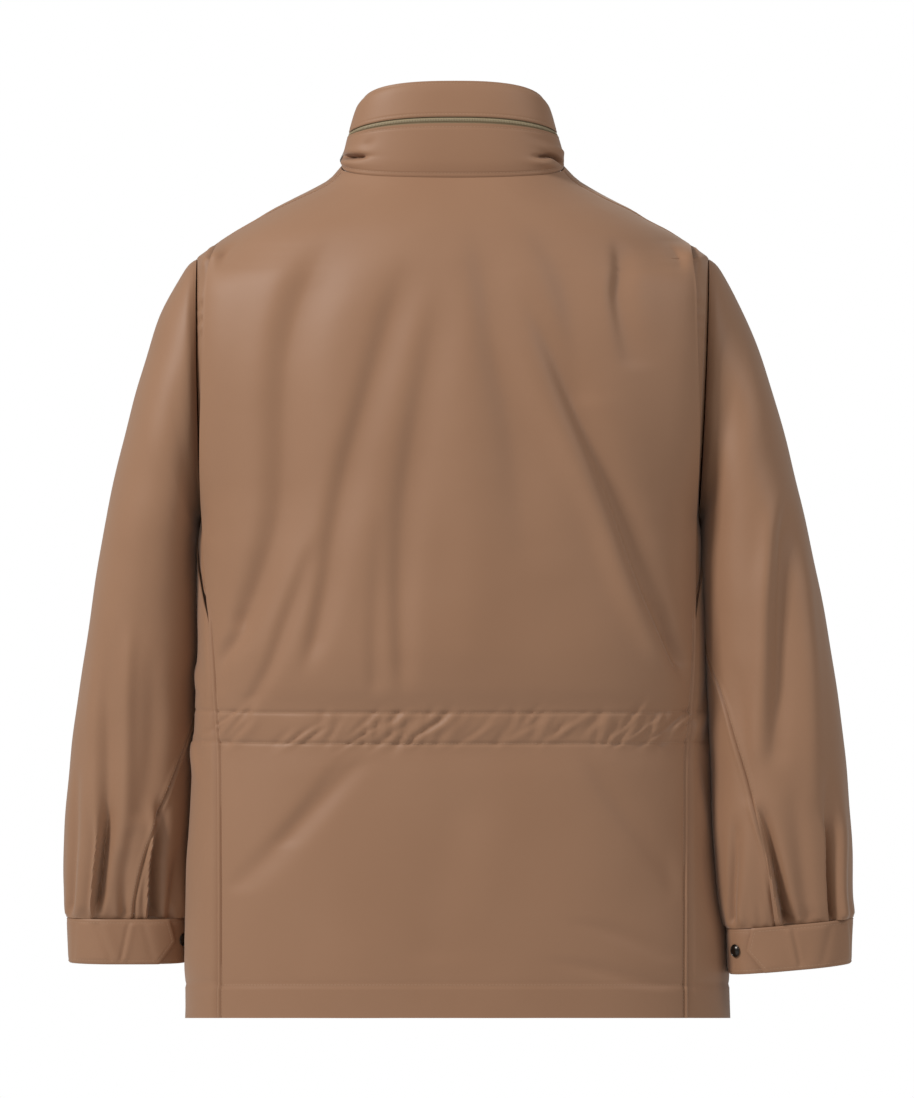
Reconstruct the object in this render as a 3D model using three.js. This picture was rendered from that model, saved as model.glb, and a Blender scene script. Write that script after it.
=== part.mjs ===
// A hip-length field jacket, filled out as on a figure, with nobody in it: a one-piece back with action
// pleats, two fronts under a fly placket, two-piece sleeves, buttoning cuffs with pointed ends, a
// drawstring casing at the waist, and a stand collar with a zipped hood pocket round its back.
// Millimetres, +Z up, +X the wearer's right, +Y the wearer's front. The origin is in the middle of the
// neck, level with the collar seam at its sides, where the jacket hangs on the shoulders.
import * as THREE from "three";

// Driving sizes of the jacket
const NECK_SIDE_Z = 5;
const HEM_Z = -786.8;
const HEM_SLOPE = 0.077; // the hem drops this much for each millimetre towards the front
const CLOTH = 1.8;
const SEAM_GAP = 0.4;
const SHOULDER_POINT_Z = -80;
const UNDERARM_Z = -320;
const PLEAT_TOP_Z = -62;
const PLEAT_BOTTOM_Z = -417;
const PLEAT_LIFT = 7;
const PLEAT_LIFT_WIDTH = 34;
const PLEAT_UNDERLAP = 20;
const SHOULDER_SEAM_AT_NECK = 78; // degrees round from the centre back
const CASING_TOP_Z = -500;
const CASING_BOTTOM_Z = -528;
const CASING_PUFF = 2.2;

// Heights of the neck seam at the sides, the centre back and the centre front. The lean of such a
// ring says how it runs between them: 1 tilts it evenly, less keeps it level across the back.
const NECK = { sideZ: NECK_SIDE_Z, backZ: -8.3, frontZ: -45, lean: -0.8 };

// The armhole is an oval loop, nearly upright: its top and bottom in X and Z, and its half depth in Y
const ARMHOLE = { topL: 240, topR: 236, bottomL: 235, bottomR: 226, middleY: 3, halfDepth: 55 };

// Outline of the body from the neck to the shoulder point, and from the underarm to the hem
const SHOULDER_WIDTHS = [
  { z: 5, left: 106, right: 102 },
  { z: -7.4, left: 117.4, right: 114.4 },
  { z: -16.7, left: 133.9, right: 129.3 },
  { z: -26, left: 152.9, right: 146.4 },
  { z: -35.3, left: 171, right: 165.1 },
  { z: -44.6, left: 186, right: 179.5 },
  { z: -54, left: 201.8, right: 197.3 },
  { z: -63, left: 216.5, right: 212 },
  { z: -72.5, left: 229.5, right: 225.5 },
  { z: -80, left: 240, right: 236 },
];
const BODY_WIDTHS = [
  { z: -320, left: 235, right: 226 },
  { z: -342, left: 238.2, right: 228.9 },
  { z: -360, left: 238.2, right: 229.4 },
  { z: -396, left: 237.7, right: 231.1 },
  { z: -436, left: 237.8, right: 232.7 },
  { z: -482, left: 239.4, right: 234.7 },
  { z: -533, left: 241.6, right: 237.2 },
  { z: -586, left: 244.4, right: 239.3 },
  { z: -640, left: 247.2, right: 242.4 },
  { z: -700, left: 249.2, right: 249.5 },
  { z: -740, left: 250, right: 253.4 },
  { z: -787, left: 249.6, right: 255.2 },
];

// Depth of the body behind and before its middle, and how square its section is (2 is an ellipse)
const BODY_DEPTHS = [
  { z: 5, back: 54, front: 60, round: 2.5 },
  { z: -16, back: 69, front: 73, round: 2.3 },
  { z: -35, back: 82, front: 83, round: 2.15 },
  { z: -60, back: 97, front: 96, round: 2.15 },
  { z: -80, back: 104, front: 103, round: 2.3 },
  { z: -120, back: 114, front: 112, round: 2.5 },
  { z: -170, back: 121, front: 120, round: 2.6 },
  { z: -230, back: 125, front: 126, round: 2.6 },
  { z: -300, back: 127, front: 129, round: 2.6 },
  { z: -380, back: 129, front: 130, round: 2.5 },
  { z: -440, back: 130, front: 129, round: 2.5 },
  { z: -475, back: 126, front: 125, round: 2.5 },
  { z: -500, back: 120, front: 120, round: 2.5 },
  { z: -528, back: 118, front: 119, round: 2.5 },
  { z: -560, back: 121, front: 123, round: 2.5 },
  { z: -650, back: 125, front: 131, round: 2.5 },
  { z: -787, back: 127, front: 138, round: 2.5 },
];

// Where the back panel ends at each side: the shoulder seam is worked out, the rest is the fold of the
// pleat and then the side seam
const BACK_EDGES = [
  { z: -65, left: 219.5, right: 218.5 },
  { z: -84, left: 224, right: 217.5 },
  { z: -110, left: 225.5, right: 217 },
  { z: -160, left: 226.5, right: 217.5 },
  { z: -230, left: 228.5, right: 219 },
  { z: -305, left: 230.3, right: 219 },
  { z: -330, left: 230.2, right: 219.5 },
  { z: -361, left: 230, right: 220.5 },
  { z: -398, left: 229, right: 222 },
  { z: -417, left: 227.5, right: 222.5 },
  { z: -454, left: 225, right: 222 },
  { z: -491, left: 223, right: 220 },
  { z: -535, left: 220, right: 215.8 },
  { z: -600, left: 219, right: 215 },
  { z: -787, left: 218.5, right: 214 },
];

// Folds of the back: from a top point to a lower one in X and Z, bowed sideways between them. A ridge
// has a negative depth.
const BACK_FOLDS = [
  { topX: -108, topZ: -60, lowX: -212, lowZ: -455, bow: -26, depth: 7.5, width: 15 },
  { topX: -150, topZ: -170, lowX: -222, lowZ: -440, bow: -10, depth: -4, width: 17 },
  { topX: -50, topZ: -95, lowX: -150, lowZ: -462, bow: -4, depth: 4.5, width: 12 },
  { topX: -10, topZ: -90, lowX: -44, lowZ: -470, bow: -6, depth: 3, width: 13 },
  { topX: 50, topZ: -95, lowX: 206, lowZ: -458, bow: -10, depth: 6, width: 12 },
  { topX: 22, topZ: -60, lowX: 18, lowZ: -470, bow: 0, depth: -3.5, width: 24 },
  { topX: 148, topZ: -80, lowX: 156, lowZ: -150, bow: 0, depth: 3.5, width: 10 },
  { topX: -112, topZ: -548, lowX: -208, lowZ: -650, bow: 0, depth: 2.5, width: 14 },
  { topX: 90, topZ: -540, lowX: 178, lowZ: -650, bow: 0, depth: 2.5, width: 14 },
];

// Folds of the fronts, in the same terms
const FRONT_FOLDS = [
  { topX: -95, topZ: -110, lowX: -182, lowZ: -450, bow: -12, depth: 5, width: 15 },
  { topX: 92, topZ: -105, lowX: 186, lowZ: -455, bow: 12, depth: 5, width: 15 },
  { topX: -60, topZ: -180, lowX: -96, lowZ: -465, bow: 0, depth: 3, width: 13 },
  { topX: 66, topZ: -170, lowX: 90, lowZ: -460, bow: 0, depth: 3, width: 13 },
  { topX: -90, topZ: -545, lowX: -170, lowZ: -660, bow: 0, depth: 2.5, width: 14 },
  { topX: 96, topZ: -545, lowX: 176, lowZ: -655, bow: 0, depth: 2.5, width: 14 },
];

// Sections of a sleeve from the armhole to the cuff: the outer and the inner point of each (left and
// right sleeve), the middle and half depth in Y, how square it is, and the elbow seam's angle round
// from the outer point
const SLEEVE = [
  {
    outL: 240, outR: 236, outZ: -80, inL: 235, inR: 226, inZ: -320,
    midL: 3, midR: 3, depth: 55, round: 2, seamL: 176, seamR: 176,
  },
  {
    outL: 252.5, outR: 248, outZ: -93, inL: 237.5, inR: 228.5, inZ: -323,
    midL: 3, midR: 3, depth: 61, round: 2, seamL: 176, seamR: 176,
  },
  {
    outL: 275.5, outR: 271.5, outZ: -138, inL: 239, inR: 229.5, inZ: -328,
    midL: 4, midR: 1.5, depth: 64, round: 2, seamL: 176, seamR: 176,
  },
  {
    outL: 294, outR: 292, outZ: -193, inL: 239.5, inR: 229.8, inZ: -335,
    midL: 6, midR: -3, depth: 67, round: 2.1, seamL: 176, seamR: 176,
  },
  {
    outL: 308, outR: 307, outZ: -249, inL: 239.5, inR: 230, inZ: -345,
    midL: 9, midR: -7, depth: 68, round: 2.1, seamL: 176, seamR: 176,
  },
  {
    outL: 321.5, outR: 320, outZ: -305, inL: 239, inR: 230, inZ: -364,
    midL: 13, midR: -12, depth: 68, round: 2.2, seamL: 176, seamR: 176,
  },
  {
    outL: 331.5, outR: 333, outZ: -361, inL: 238, inR: 231.3, inZ: -396,
    midL: 18, midR: -17, depth: 67, round: 2.2, seamL: 176, seamR: 176,
  },
  {
    outL: 341, outR: 344, outZ: -417, inL: 237.5, inR: 232.7, inZ: -436,
    midL: 23, midR: -21, depth: 66, round: 2.2, seamL: 175, seamR: 170,
  },
  {
    outL: 350, outR: 353, outZ: -472, inL: 239, inR: 234.5, inZ: -482,
    midL: 28, midR: -25, depth: 65, round: 2.2, seamL: 168, seamR: 145,
  },
  {
    outL: 357, outR: 359.5, outZ: -528, inL: 240.5, inR: 236.8, inZ: -533,
    midL: 33, midR: -28, depth: 63, round: 2.3, seamL: 142, seamR: 128.5,
  },
  {
    outL: 363.5, outR: 364.5, outZ: -584, inL: 243, inR: 238.5, inZ: -586,
    midL: 38, midR: -31, depth: 61, round: 2.3, seamL: 122, seamR: 116,
  },
  {
    outL: 367, outR: 367.5, outZ: -632, inL: 246, inR: 241, inZ: -632,
    midL: 43, midR: -33, depth: 57, round: 2.4, seamL: 109, seamR: 108,
  },
  {
    outL: 366.5, outR: 368.5, outZ: -672, inL: 247, inR: 245.3, inZ: -672,
    midL: 47, midR: -34, depth: 50, round: 2.6, seamL: 100, seamR: 105.5,
  },
  {
    outL: 364, outR: 368, outZ: -695, inL: 248.8, inR: 250.5, inZ: -695,
    midL: 50, midR: -35, depth: 43, round: 3.1, seamL: 97, seamR: 105,
  },
];
const SLEEVE_ROWS = SLEEVE.map((row, i) => ({ ...row, row: i }));
const SLEEVE_START = 0.008;
const INNER_SLEEVE_SEAM = 238; // degrees round from the outer point, on the front of the arm

// Folds of the sleeves: angle round from the outer point in degrees and height, at both ends
const SLEEVE_FOLDS = [
  { side: -1, topA: 54, topZ: -440, lowA: 62, lowZ: -694, bow: 12, depth: 6, width: 8 },
  { side: -1, topA: 36, topZ: -540, lowA: 36, lowZ: -694, bow: 0, depth: 3.5, width: 7 },
  { side: -1, topA: 116, topZ: -575, lowA: 112, lowZ: -698, bow: 0, depth: 5, width: 6 },
  { side: -1, topA: 76, topZ: -400, lowA: 86, lowZ: -620, bow: 0, depth: -3, width: 8 },
  { side: 1, topA: 48, topZ: -300, lowA: 96, lowZ: -510, bow: 6, depth: 4.5, width: 13 },
  { side: 1, topA: 50, topZ: -560, lowA: 56, lowZ: -694, bow: 0, depth: 6, width: 8 },
  { side: 1, topA: 112, topZ: -575, lowA: 100, lowZ: -698, bow: 0, depth: 5, width: 7 },
  { side: -1, topA: 285, topZ: -380, lowA: 262, lowZ: -600, bow: 0, depth: 4, width: 12 },
  { side: 1, topA: 288, topZ: -390, lowA: 264, lowZ: -610, bow: 0, depth: 4, width: 12 },
  { side: -1, topA: 305, topZ: -560, lowA: 300, lowZ: -692, bow: 0, depth: 5, width: 8 },
  { side: 1, topA: 303, topZ: -570, lowA: 300, lowZ: -692, bow: 0, depth: 5, width: 8 },
];

// Cuffs: a strip wound round the end of the sleeve, its pointed end over its plain one. Angles are
// degrees round from the outer point towards the back.
const CUFF = { height: 42, taper: 0.97, cloth: 2.2, underEnd: 86, overLift: 2.9, overLiftFrom: 402 };
const CUFF_ENDS = {
  L: { top: 128, tip: 134, bottom: 120, snap: 146 },
  R: { top: 124, tip: 129, bottom: 114, snap: 142 },
};
const CUFF_TILT = { L: 0, R: 0.09 }; // rise of the right cuff towards its outer side
const SNAP = { radius: 5.8, height: 2.6, drop: 20, lift: 0.3 };

// Collar: rings from the neck seam to the top edge, at heights measured on its back
const COLLAR_RINGS = [
  { h: 0, left: 105.5, right: 101.5, back: 54, front: 60, sideZ: 6, backZ: -7.3, frontZ: -43.7, lean: -0.8 },
  { h: 14, left: 104, right: 100.5, back: 55.5, front: 61, sideZ: 17, backZ: 7, frontZ: -31, lean: -0.4 },
  { h: 40, left: 100, right: 96.5, back: 54, front: 59, sideZ: 32.4, backZ: 43, frontZ: -3, lean: 0.03 },
  { h: 46, left: 98.8, right: 95, back: 53.5, front: 58.5, sideZ: 36.8, backZ: 48.2, frontZ: 1, lean: 0.03 },
  { h: 70, left: 93.2, right: 89.3, back: 50.5, front: 55, sideZ: 51.5, backZ: 71.5, frontZ: 19, lean: 1 },
  { h: 80, left: 87.5, right: 84, back: 48, front: 52.5, sideZ: 57.5, backZ: 81.2, frontZ: 26, lean: 1 },
];
const COLLAR = {
  cloth: 2.4,
  round: 2.6,
  zipFrom: 40,
  zipTo: 45,
  zipEnd: 122, // degrees round from the centre back
  zipSink: 0.9,
  zipTape: 1.2,
  top: 80,
};
const COLLAR_CREASES = [
  { angle: -74, h: 17, depth: 6, across: 5, along: 15 },
  { angle: 72, h: 18, depth: 6, across: 5, along: 15 },
];
const COLLAR_FRONT_GAP = 0.2; // degrees left open on each side of the centre front

// Zip slider at the left end of the zip: its outline across the zip, outwards from the collar, and the
// pull tab that hangs from its bridge
const SLIDER = {
  angle: -116,
  h: 42.4,
  lift: 0.4,
  long: 7,
  half: 4,
  base: 2.1,
  bridge: 2.6,
  eyeHalf: 1.7,
  eyeLow: 2.4,
  eyeHigh: 4.4,
  top: 5.5,
};
const PULL = { half: 5, rod: 1.1, rail: 1.1, eye: 4.8, long: 21, corner: 1.8, hole: 1.2 };

// Placket over the centre front
const PLACKET = { left: -30, right: 24, cloth: 2.2, above: 0.6, collarTop: 77, collarRows: 5 };

const DEGREE = Math.PI / 180;
const smooth = (t) => t * t * (3 - 2 * t);
const ramp = (at, from, to) => smooth(THREE.MathUtils.clamp((at - from) / (to - from), 0, 1));

// Shares of the half width and of the depth at an angle of a ring that is rounder or squarer.
function ringShares(angle, round) {
  const [s, c] = [Math.sin(angle), Math.cos(angle)];
  const size = (Math.abs(s) ** round + Math.abs(c) ** round) ** (-1 / round);
  return [s * size, c * size];
}

// A named column of a table at some place in its key column, on a smooth curve through the rows.
function read(rows, key, name, at) {
  const downward = Math.sign(rows[rows.length - 1][key] - rows[0][key]);
  let i = 0;
  while (i < rows.length - 2 && (at - rows[i + 1][key]) * downward > 0) i++;
  const slope = (k) => {
    const a = rows[Math.max(k - 1, 0)];
    const b = rows[Math.min(k + 1, rows.length - 1)];
    return (b[name] - a[name]) / (b[key] - a[key]);
  };
  const span = rows[i + 1][key] - rows[i][key];
  const t = THREE.MathUtils.clamp((at - rows[i][key]) / span, 0, 1);
  const [t2, t3] = [t * t, t * t * t];
  return (
    (2 * t3 - 3 * t2 + 1) * rows[i][name] +
    (t3 - 2 * t2 + t) * span * slope(i) +
    (3 * t2 - 2 * t3) * rows[i + 1][name] +
    (t3 - t2) * span * slope(i + 1)
  );
}

// Relief of a table of folds at a point of a flat plan: positive outwards, so a fold's trough is
// negative.
function relief(folds, x, z) {
  let sum = 0;
  for (const f of folds) {
    const [dx, dz] = [f.lowX - f.topX, f.lowZ - f.topZ];
    const long = Math.hypot(dx, dz);
    const t = ((x - f.topX) * dx + (z - f.topZ) * dz) / (long * long);
    if (t <= 0 || t >= 1) continue;
    const away = ((x - f.topX) * dz - (z - f.topZ) * dx) / long + f.bow * 4 * t * (1 - t);
    const fade = ramp(t, 0, 0.3) * ramp(t, 1, 0.8);
    sum -= f.depth * fade * Math.exp(-((away / f.width) ** 2));
  }
  return sum;
}

// One place on the armhole loop at a height, as X and half width in Y.
function armholeAt(z, side) {
  const middleZ = (SHOULDER_POINT_Z + UNDERARM_Z) / 2;
  const lift = THREE.MathUtils.clamp((z - middleZ) / (SHOULDER_POINT_Z - middleZ), -1, 1);
  const [topX, bottomX] = side < 0 ? [ARMHOLE.topL, ARMHOLE.bottomL] : [ARMHOLE.topR, ARMHOLE.bottomR];
  return {
    x: THREE.MathUtils.lerp(bottomX, topX, (lift + 1) / 2),
    halfY: ARMHOLE.halfDepth * Math.sqrt(1 - lift * lift),
  };
}

// Half width, depth and squareness of the body's section at a height, on one side, for its back or front.
function section(z, side, isFront) {
  const depth = read(BODY_DEPTHS, "z", isFront ? "front" : "back", z);
  const round = read(BODY_DEPTHS, "z", "round", z);
  const hand = side < 0 ? "left" : "right";
  if (z >= SHOULDER_POINT_Z) return { half: read(SHOULDER_WIDTHS, "z", hand, z), depth, round };
  if (z <= UNDERARM_Z) return { half: read(BODY_WIDTHS, "z", hand, z), depth, round };
  const hole = armholeAt(z, side);
  const y = hole.halfY + (isFront ? ARMHOLE.middleY : -ARMHOLE.middleY);
  return { half: hole.x / (1 - (Math.max(y, 0) / depth) ** round) ** (1 / round), depth, round };
}

// How far a ring's height is moved at some share of its depth, 1 at the centre back, -1 at the front.
function ringDrop(ring, share) {
  const slope = (ring.lean * (ring.backZ - ring.frontZ)) / 2;
  const end = share > 0 ? ring.backZ - slope : ring.frontZ + slope;
  return slope * share + (end - ring.sideZ) * share * share;
}

// A point of the body at an angle round from the centre back and at a height.
function bodyPoint(angle, z) {
  const { half, depth, round } = section(z, Math.sign(angle), Math.cos(angle) < 0);
  const [across, share] = ringShares(angle, round);
  const y = -depth * share;
  const neck = ringDrop(NECK, share);
  const tilt = neck * ramp(z, -78, NECK_SIDE_Z) - HEM_SLOPE * y * ramp(z, -600, HEM_Z);
  return new THREE.Vector3(half * across, y, z + tilt);
}

// The angle at which the body's back has a given X.
function angleAtX(x, z, isFront = false) {
  const { half, round } = section(z, Math.sign(x), isFront);
  const across = Math.min(Math.abs(x) / half, 1);
  const angle = Math.atan2(across, (1 - across ** round) ** (1 / round));
  return Math.sign(x) * (isFront ? Math.PI - angle : angle);
}

// Moves an angle of one side along the ring by a distance in millimetres, round towards the front.
function alongRing(angle, z, side, distance) {
  const start = bodyPoint(side * angle, z);
  let turn = Math.sign(distance) * 0.01;
  for (let i = 0; i < 5; i++) {
    turn *= Math.abs(distance) / start.distanceTo(bodyPoint(side * (angle + turn), z));
  }
  return angle + turn;
}

// The angle of the seam that joins front and back over the shoulder, or at the side under the arm.
function seamAngle(z, side) {
  if (z > SHOULDER_POINT_Z) {
    const share = ramp(z, SHOULDER_POINT_Z, NECK_SIDE_Z);
    return THREE.MathUtils.lerp(90, SHOULDER_SEAM_AT_NECK, share) * DEGREE;
  }
  return THREE.MathUtils.lerp(Math.PI / 2, foldAngle(z, side), ramp(z, UNDERARM_Z, PLEAT_BOTTOM_Z));
}

const foldAngle = (z, side) => {
  const edge = read(BACK_EDGES, "z", side < 0 ? "left" : "right", z);
  return Math.abs(angleAtX(side * edge, z));
};

// The angle of the back panel's own edge: shoulder seam, fold of the pleat, side seam.
function backEdge(z, side) {
  const pleated = z < PLEAT_TOP_Z && z > PLEAT_BOTTOM_Z;
  const seam = alongRing(seamAngle(z, side), z, side, -SEAM_GAP / 2);
  return pleated ? Math.min(foldAngle(z, side), seam) : seam;
}

// The angle at which a front starts, and the outer edge of a pleat.
function sideEdge(z, side, isFront) {
  const inArmhole = z <= SHOULDER_POINT_Z && z >= UNDERARM_Z;
  const holeAngle = () => Math.abs(angleAtX(side * armholeAt(z, side).x, z, isFront));
  const angle = inArmhole ? holeAngle() : seamAngle(z, side);
  return alongRing(angle, z, side, ((isFront ? 1 : -1) * SEAM_GAP) / 2);
}

// Wall of cloth over a surface: a slab bent so that its top face lies on the surface, lifted by rise,
// and its other face one thickness inside. across runs anticlockwise seen from above, up runs upwards.
function wall(surface, columns, rows, thickness, rise = () => 0) {
  const slab = new THREE.BoxGeometry(1, 1, 1, columns, rows, 1);
  const place = slab.getAttribute("position");
  const step = 1e-3;
  const [du, dv] = [new THREE.Vector3(), new THREE.Vector3()];
  for (let i = 0; i < place.count; i++) {
    const [u, v] = [place.getX(i) + 0.5, place.getY(i) + 0.5];
    const [u0, v0] = [Math.max(u - step, 0), Math.max(v - step, 0)];
    const [u1, v1] = [Math.min(u + step, 1), Math.min(v + step, 1)];
    du.copy(surface(u1, v)).sub(surface(u0, v));
    dv.copy(surface(u, v1)).sub(surface(u, v0));
    const normal = du.cross(dv).normalize();
    const out = rise(u, v) + (place.getZ(i) - 0.5) * thickness;
    const point = surface(u, v).addScaledVector(normal, out);
    place.setXYZ(i, point.x, point.y, point.z);
  }
  return slab;
}

// Even steps from one value to just before another.
function spread(from, to, count) {
  return Array.from({ length: count }, (_, i) => from + ((to - from) * i) / count);
}

// Heights of the body's rows of facets, shared by every panel so that seams match.
const BODY_ROWS = [
  ...spread(NECK_SIDE_Z, PLEAT_TOP_Z, 5),
  PLEAT_TOP_Z,
  -66,
  -71,
  ...spread(SHOULDER_POINT_Z, UNDERARM_Z, 12),
  ...spread(UNDERARM_Z, PLEAT_BOTTOM_Z, 4),
  ...spread(PLEAT_BOTTOM_Z, CASING_TOP_Z, 4),
  ...spread(CASING_TOP_Z, CASING_BOTTOM_Z, 2),
  ...spread(CASING_BOTTOM_Z, HEM_Z, 7),
  HEM_Z,
];

// The height at a share of the way up between two rows, straight between neighbouring rows.
function rowHeight(v, lowRow, highRow) {
  const at = THREE.MathUtils.lerp(lowRow, highRow, v);
  const i = Math.min(Math.floor(at), BODY_ROWS.length - 2);
  return THREE.MathUtils.lerp(BODY_ROWS[i], BODY_ROWS[i + 1], at - i);
}

// The casing swells between its stitch rows, apart from the sides that lie against the sleeves.
const casingPuff = (x, z) => {
  const t = (z - CASING_BOTTOM_Z) / (CASING_TOP_Z - CASING_BOTTOM_Z);
  return t > 0 && t < 1 ? CASING_PUFF * Math.sin(Math.PI * t) * ramp(Math.abs(x), 234, 212) : 0;
};

const fabric = new THREE.MeshStandardMaterial({ color: 0x9a7760, roughness: 0.62, side: THREE.DoubleSide });
const tape = new THREE.MeshStandardMaterial({ color: 0x8c7f60, roughness: 0.7 });
const gunmetal = new THREE.MeshStandardMaterial({ color: 0x3a3734, roughness: 0.3, metalness: 1 });

const jacket = new THREE.Group();
function add(name, geometry, material = fabric) {
  const mesh = new THREE.Mesh(geometry, material);
  mesh.name = name;
  jacket.add(mesh);
}

function backPanel() {
  const last = BODY_ROWS.length - 1;
  const angleOf = (u, z) => THREE.MathUtils.lerp(-backEdge(z, -1), backEdge(z, 1), u);
  const surface = (u, v) => {
    const z = rowHeight(v, last, 0);
    return bodyPoint(angleOf(u, z), z);
  };
  const rise = (u, v) => {
    const z = rowHeight(v, last, 0);
    const point = bodyPoint(angleOf(u, z), z);
    const side = Math.sign(point.x) || 1;
    const inward = bodyPoint(side * backEdge(z, side), z).distanceTo(point);
    const open = ramp(z, PLEAT_TOP_Z + 2, -120) * ramp(z, PLEAT_BOTTOM_Z - 3, -230);
    const flap = PLEAT_LIFT * open * Math.exp(-((inward / PLEAT_LIFT_WIDTH) ** 2));
    const start = PLEAT_UNDERLAP * 1.2 * ramp(z, PLEAT_BOTTOM_Z - 36, PLEAT_BOTTOM_Z - 6);
    const calm = ramp(inward, start, start + 26);
    return flap + calm * relief(BACK_FOLDS, point.x, z) + casingPuff(point.x, z);
  };
  return wall(surface, 26, last, CLOTH, rise);
}

// Pleat underlay: from under the fold of the back to the armhole seam, sunk where the back covers it.
function backPleat(side) {
  const high = BODY_ROWS.indexOf(PLEAT_TOP_Z);
  const low = BODY_ROWS.indexOf(PLEAT_BOTTOM_Z);
  const angleOf = (u, z) => {
    const inner = alongRing(backEdge(z, side), z, side, -PLEAT_UNDERLAP);
    return THREE.MathUtils.lerp(inner, sideEdge(z, side, false), side < 0 ? 1 - u : u);
  };
  const surface = (u, v) => {
    const z = rowHeight(v, low, high);
    return bodyPoint(side * angleOf(u, z), z);
  };
  const rise = (u, v) => {
    const z = rowHeight(v, low, high);
    const past = angleOf(u, z) - backEdge(z, side);
    const outward = Math.sign(past) * surface(u, v).distanceTo(bodyPoint(side * backEdge(z, side), z));
    return -(CLOTH + 0.7 + 2.5 * ramp(z, -115, -72)) * (1 - ramp(outward, 1, 9));
  };
  return wall(surface, 4, low - high, CLOTH, rise);
}

function front(side) {
  const last = BODY_ROWS.length - 1;
  const middle = Math.PI - 0.0016;
  const angleOf = (u, z) => {
    const start = sideEdge(z, side, true);
    return side * THREE.MathUtils.lerp(start, middle, side < 0 ? 1 - u : u);
  };
  const surface = (u, v) => {
    const z = rowHeight(v, last, 0);
    return bodyPoint(angleOf(u, z), z);
  };
  const rise = (u, v) => {
    const z = rowHeight(v, last, 0);
    const point = bodyPoint(angleOf(u, z), z);
    const calm = ramp(Math.abs(point.x), 34, 60) * ramp(point.y, 0, 40);
    return calm * relief(FRONT_FOLDS, point.x, z) + casingPuff(point.x, z) * ramp(Math.abs(point.x), 48, 70);
  };
  return wall(surface, 11, last, CLOTH, rise);
}

// A point of a sleeve: at an angle round from its outer point towards the back, at a share of the rows.
function sleevePoint(side, angle, share) {
  const at = share * (SLEEVE.length - 1);
  const col = (name) => read(SLEEVE_ROWS, "row", name, at);
  const hand = side < 0 ? "L" : "R";
  const out = new THREE.Vector3(col("out" + hand), 0, col("outZ"));
  const inner = new THREE.Vector3(col("in" + hand), 0, col("inZ"));
  const round = col("round");
  const middle = out.clone().add(inner).multiplyScalar(0.5);
  const [back, outward] = ringShares(angle, round);
  const point = out.sub(middle).multiplyScalar(outward).add(middle);
  point.y = col("mid" + hand) - col("depth") * back;
  point.z += CUFF_TILT[hand] * (point.x - middle.x) * ramp(share, 0.8, 1);
  point.x *= side;
  return point;
}

function sleevePanel(side, fromAngle, toAngle, columns) {
  const surface = (u, v) => {
    const share = SLEEVE_START + (1 - SLEEVE_START) * (1 - v);
    const across = side < 0 ? 1 - u : u;
    const angle = THREE.MathUtils.lerp(fromAngle(share), toAngle(share), across);
    return sleevePoint(side, angle, share);
  };
  const folds = SLEEVE_FOLDS.filter((f) => f.side === side).map((f) => ({
    topX: f.topA,
    topZ: f.topZ,
    lowX: f.lowA,
    lowZ: f.lowZ,
    bow: f.bow,
    depth: f.depth,
    width: f.width,
  }));
  const rise = (u, v) => {
    const share = SLEEVE_START + (1 - SLEEVE_START) * (1 - v);
    const across = side < 0 ? 1 - u : u;
    const angle = THREE.MathUtils.lerp(fromAngle(share), toAngle(share), across) / DEGREE;
    const point = sleevePoint(side, angle * DEGREE, share);
    const edge = ramp(1 - share, 0, 0.03);
    return edge * (relief(folds, angle, point.z) + relief(folds, angle + 360, point.z));
  };
  return wall(surface, columns, 17, CLOTH, rise);
}

function sleeve(side) {
  const name = side < 0 ? "left" : "right";
  const seam = side < 0 ? "seamL" : "seamR";
  const gap = 0.2 * DEGREE;
  const elbow = (share) => read(SLEEVE_ROWS, "row", seam, share * (SLEEVE.length - 1)) * DEGREE;
  const front = () => (INNER_SLEEVE_SEAM - 360) * DEGREE;
  add("sleeve_upper_" + name, sleevePanel(side, (s) => elbow(s) - gap, () => front() + gap, 18));
  const start = () => INNER_SLEEVE_SEAM * DEGREE - gap;
  add("sleeve_under_" + name, sleevePanel(side, start, (s) => elbow(s) + gap, 8));
}

// A cuff: its plain end lies under its pointed end.
function cuff(side) {
  const hand = side < 0 ? "L" : "R";
  const end = CUFF_ENDS[hand];
  const endAngle = (v) => {
    const [low, high, share] = v < 0.5 ? [end.bottom, end.tip, 2 * v] : [end.tip, end.top, 2 * v - 1];
    return 360 + THREE.MathUtils.lerp(low, high, share);
  };
  const angleOf = (u, v) => THREE.MathUtils.lerp(endAngle(v), CUFF.underEnd, side < 0 ? 1 - u : u);
  const surface = (u, v) => cuffPoint(side, angleOf(u, v) * DEGREE, 1 - v);
  const rise = (u, v) => CUFF.overLift * ramp(angleOf(u, v), CUFF.overLiftFrom, CUFF.overLiftFrom + 34);
  return wall(surface, 44, 2, CUFF.cloth, rise);
}

function cuffPoint(side, angle, down) {
  const hand = side < 0 ? "L" : "R";
  const last = SLEEVE[SLEEVE.length - 1];
  const half = ((last["out" + hand] - last["in" + hand]) / 2) * THREE.MathUtils.lerp(1, CUFF.taper, down);
  const middleX = (last["out" + hand] + last["in" + hand]) / 2;
  const [back, share] = ringShares(angle, last.round);
  const y = last["mid" + hand] - last.depth * back;
  const z = last.outZ - SEAM_GAP - CUFF.height * down + CUFF_TILT[hand] * half * share;
  return new THREE.Vector3(side * (middleX + half * share), y, z);
}

// A frame of directions on a surface: outwards, along it anticlockwise, and up.
function frameAt(surface, u, v, rise) {
  const step = 1e-3;
  const along = surface(u + step, v).sub(surface(u - step, v)).normalize();
  const up = surface(u, v + step).sub(surface(u, v - step)).normalize();
  const out = along.clone().cross(up).normalize();
  up.copy(out).cross(along);
  const matrix = new THREE.Matrix4().makeBasis(along, up, out);
  return matrix.setPosition(surface(u, v).addScaledVector(out, rise));
}

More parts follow.
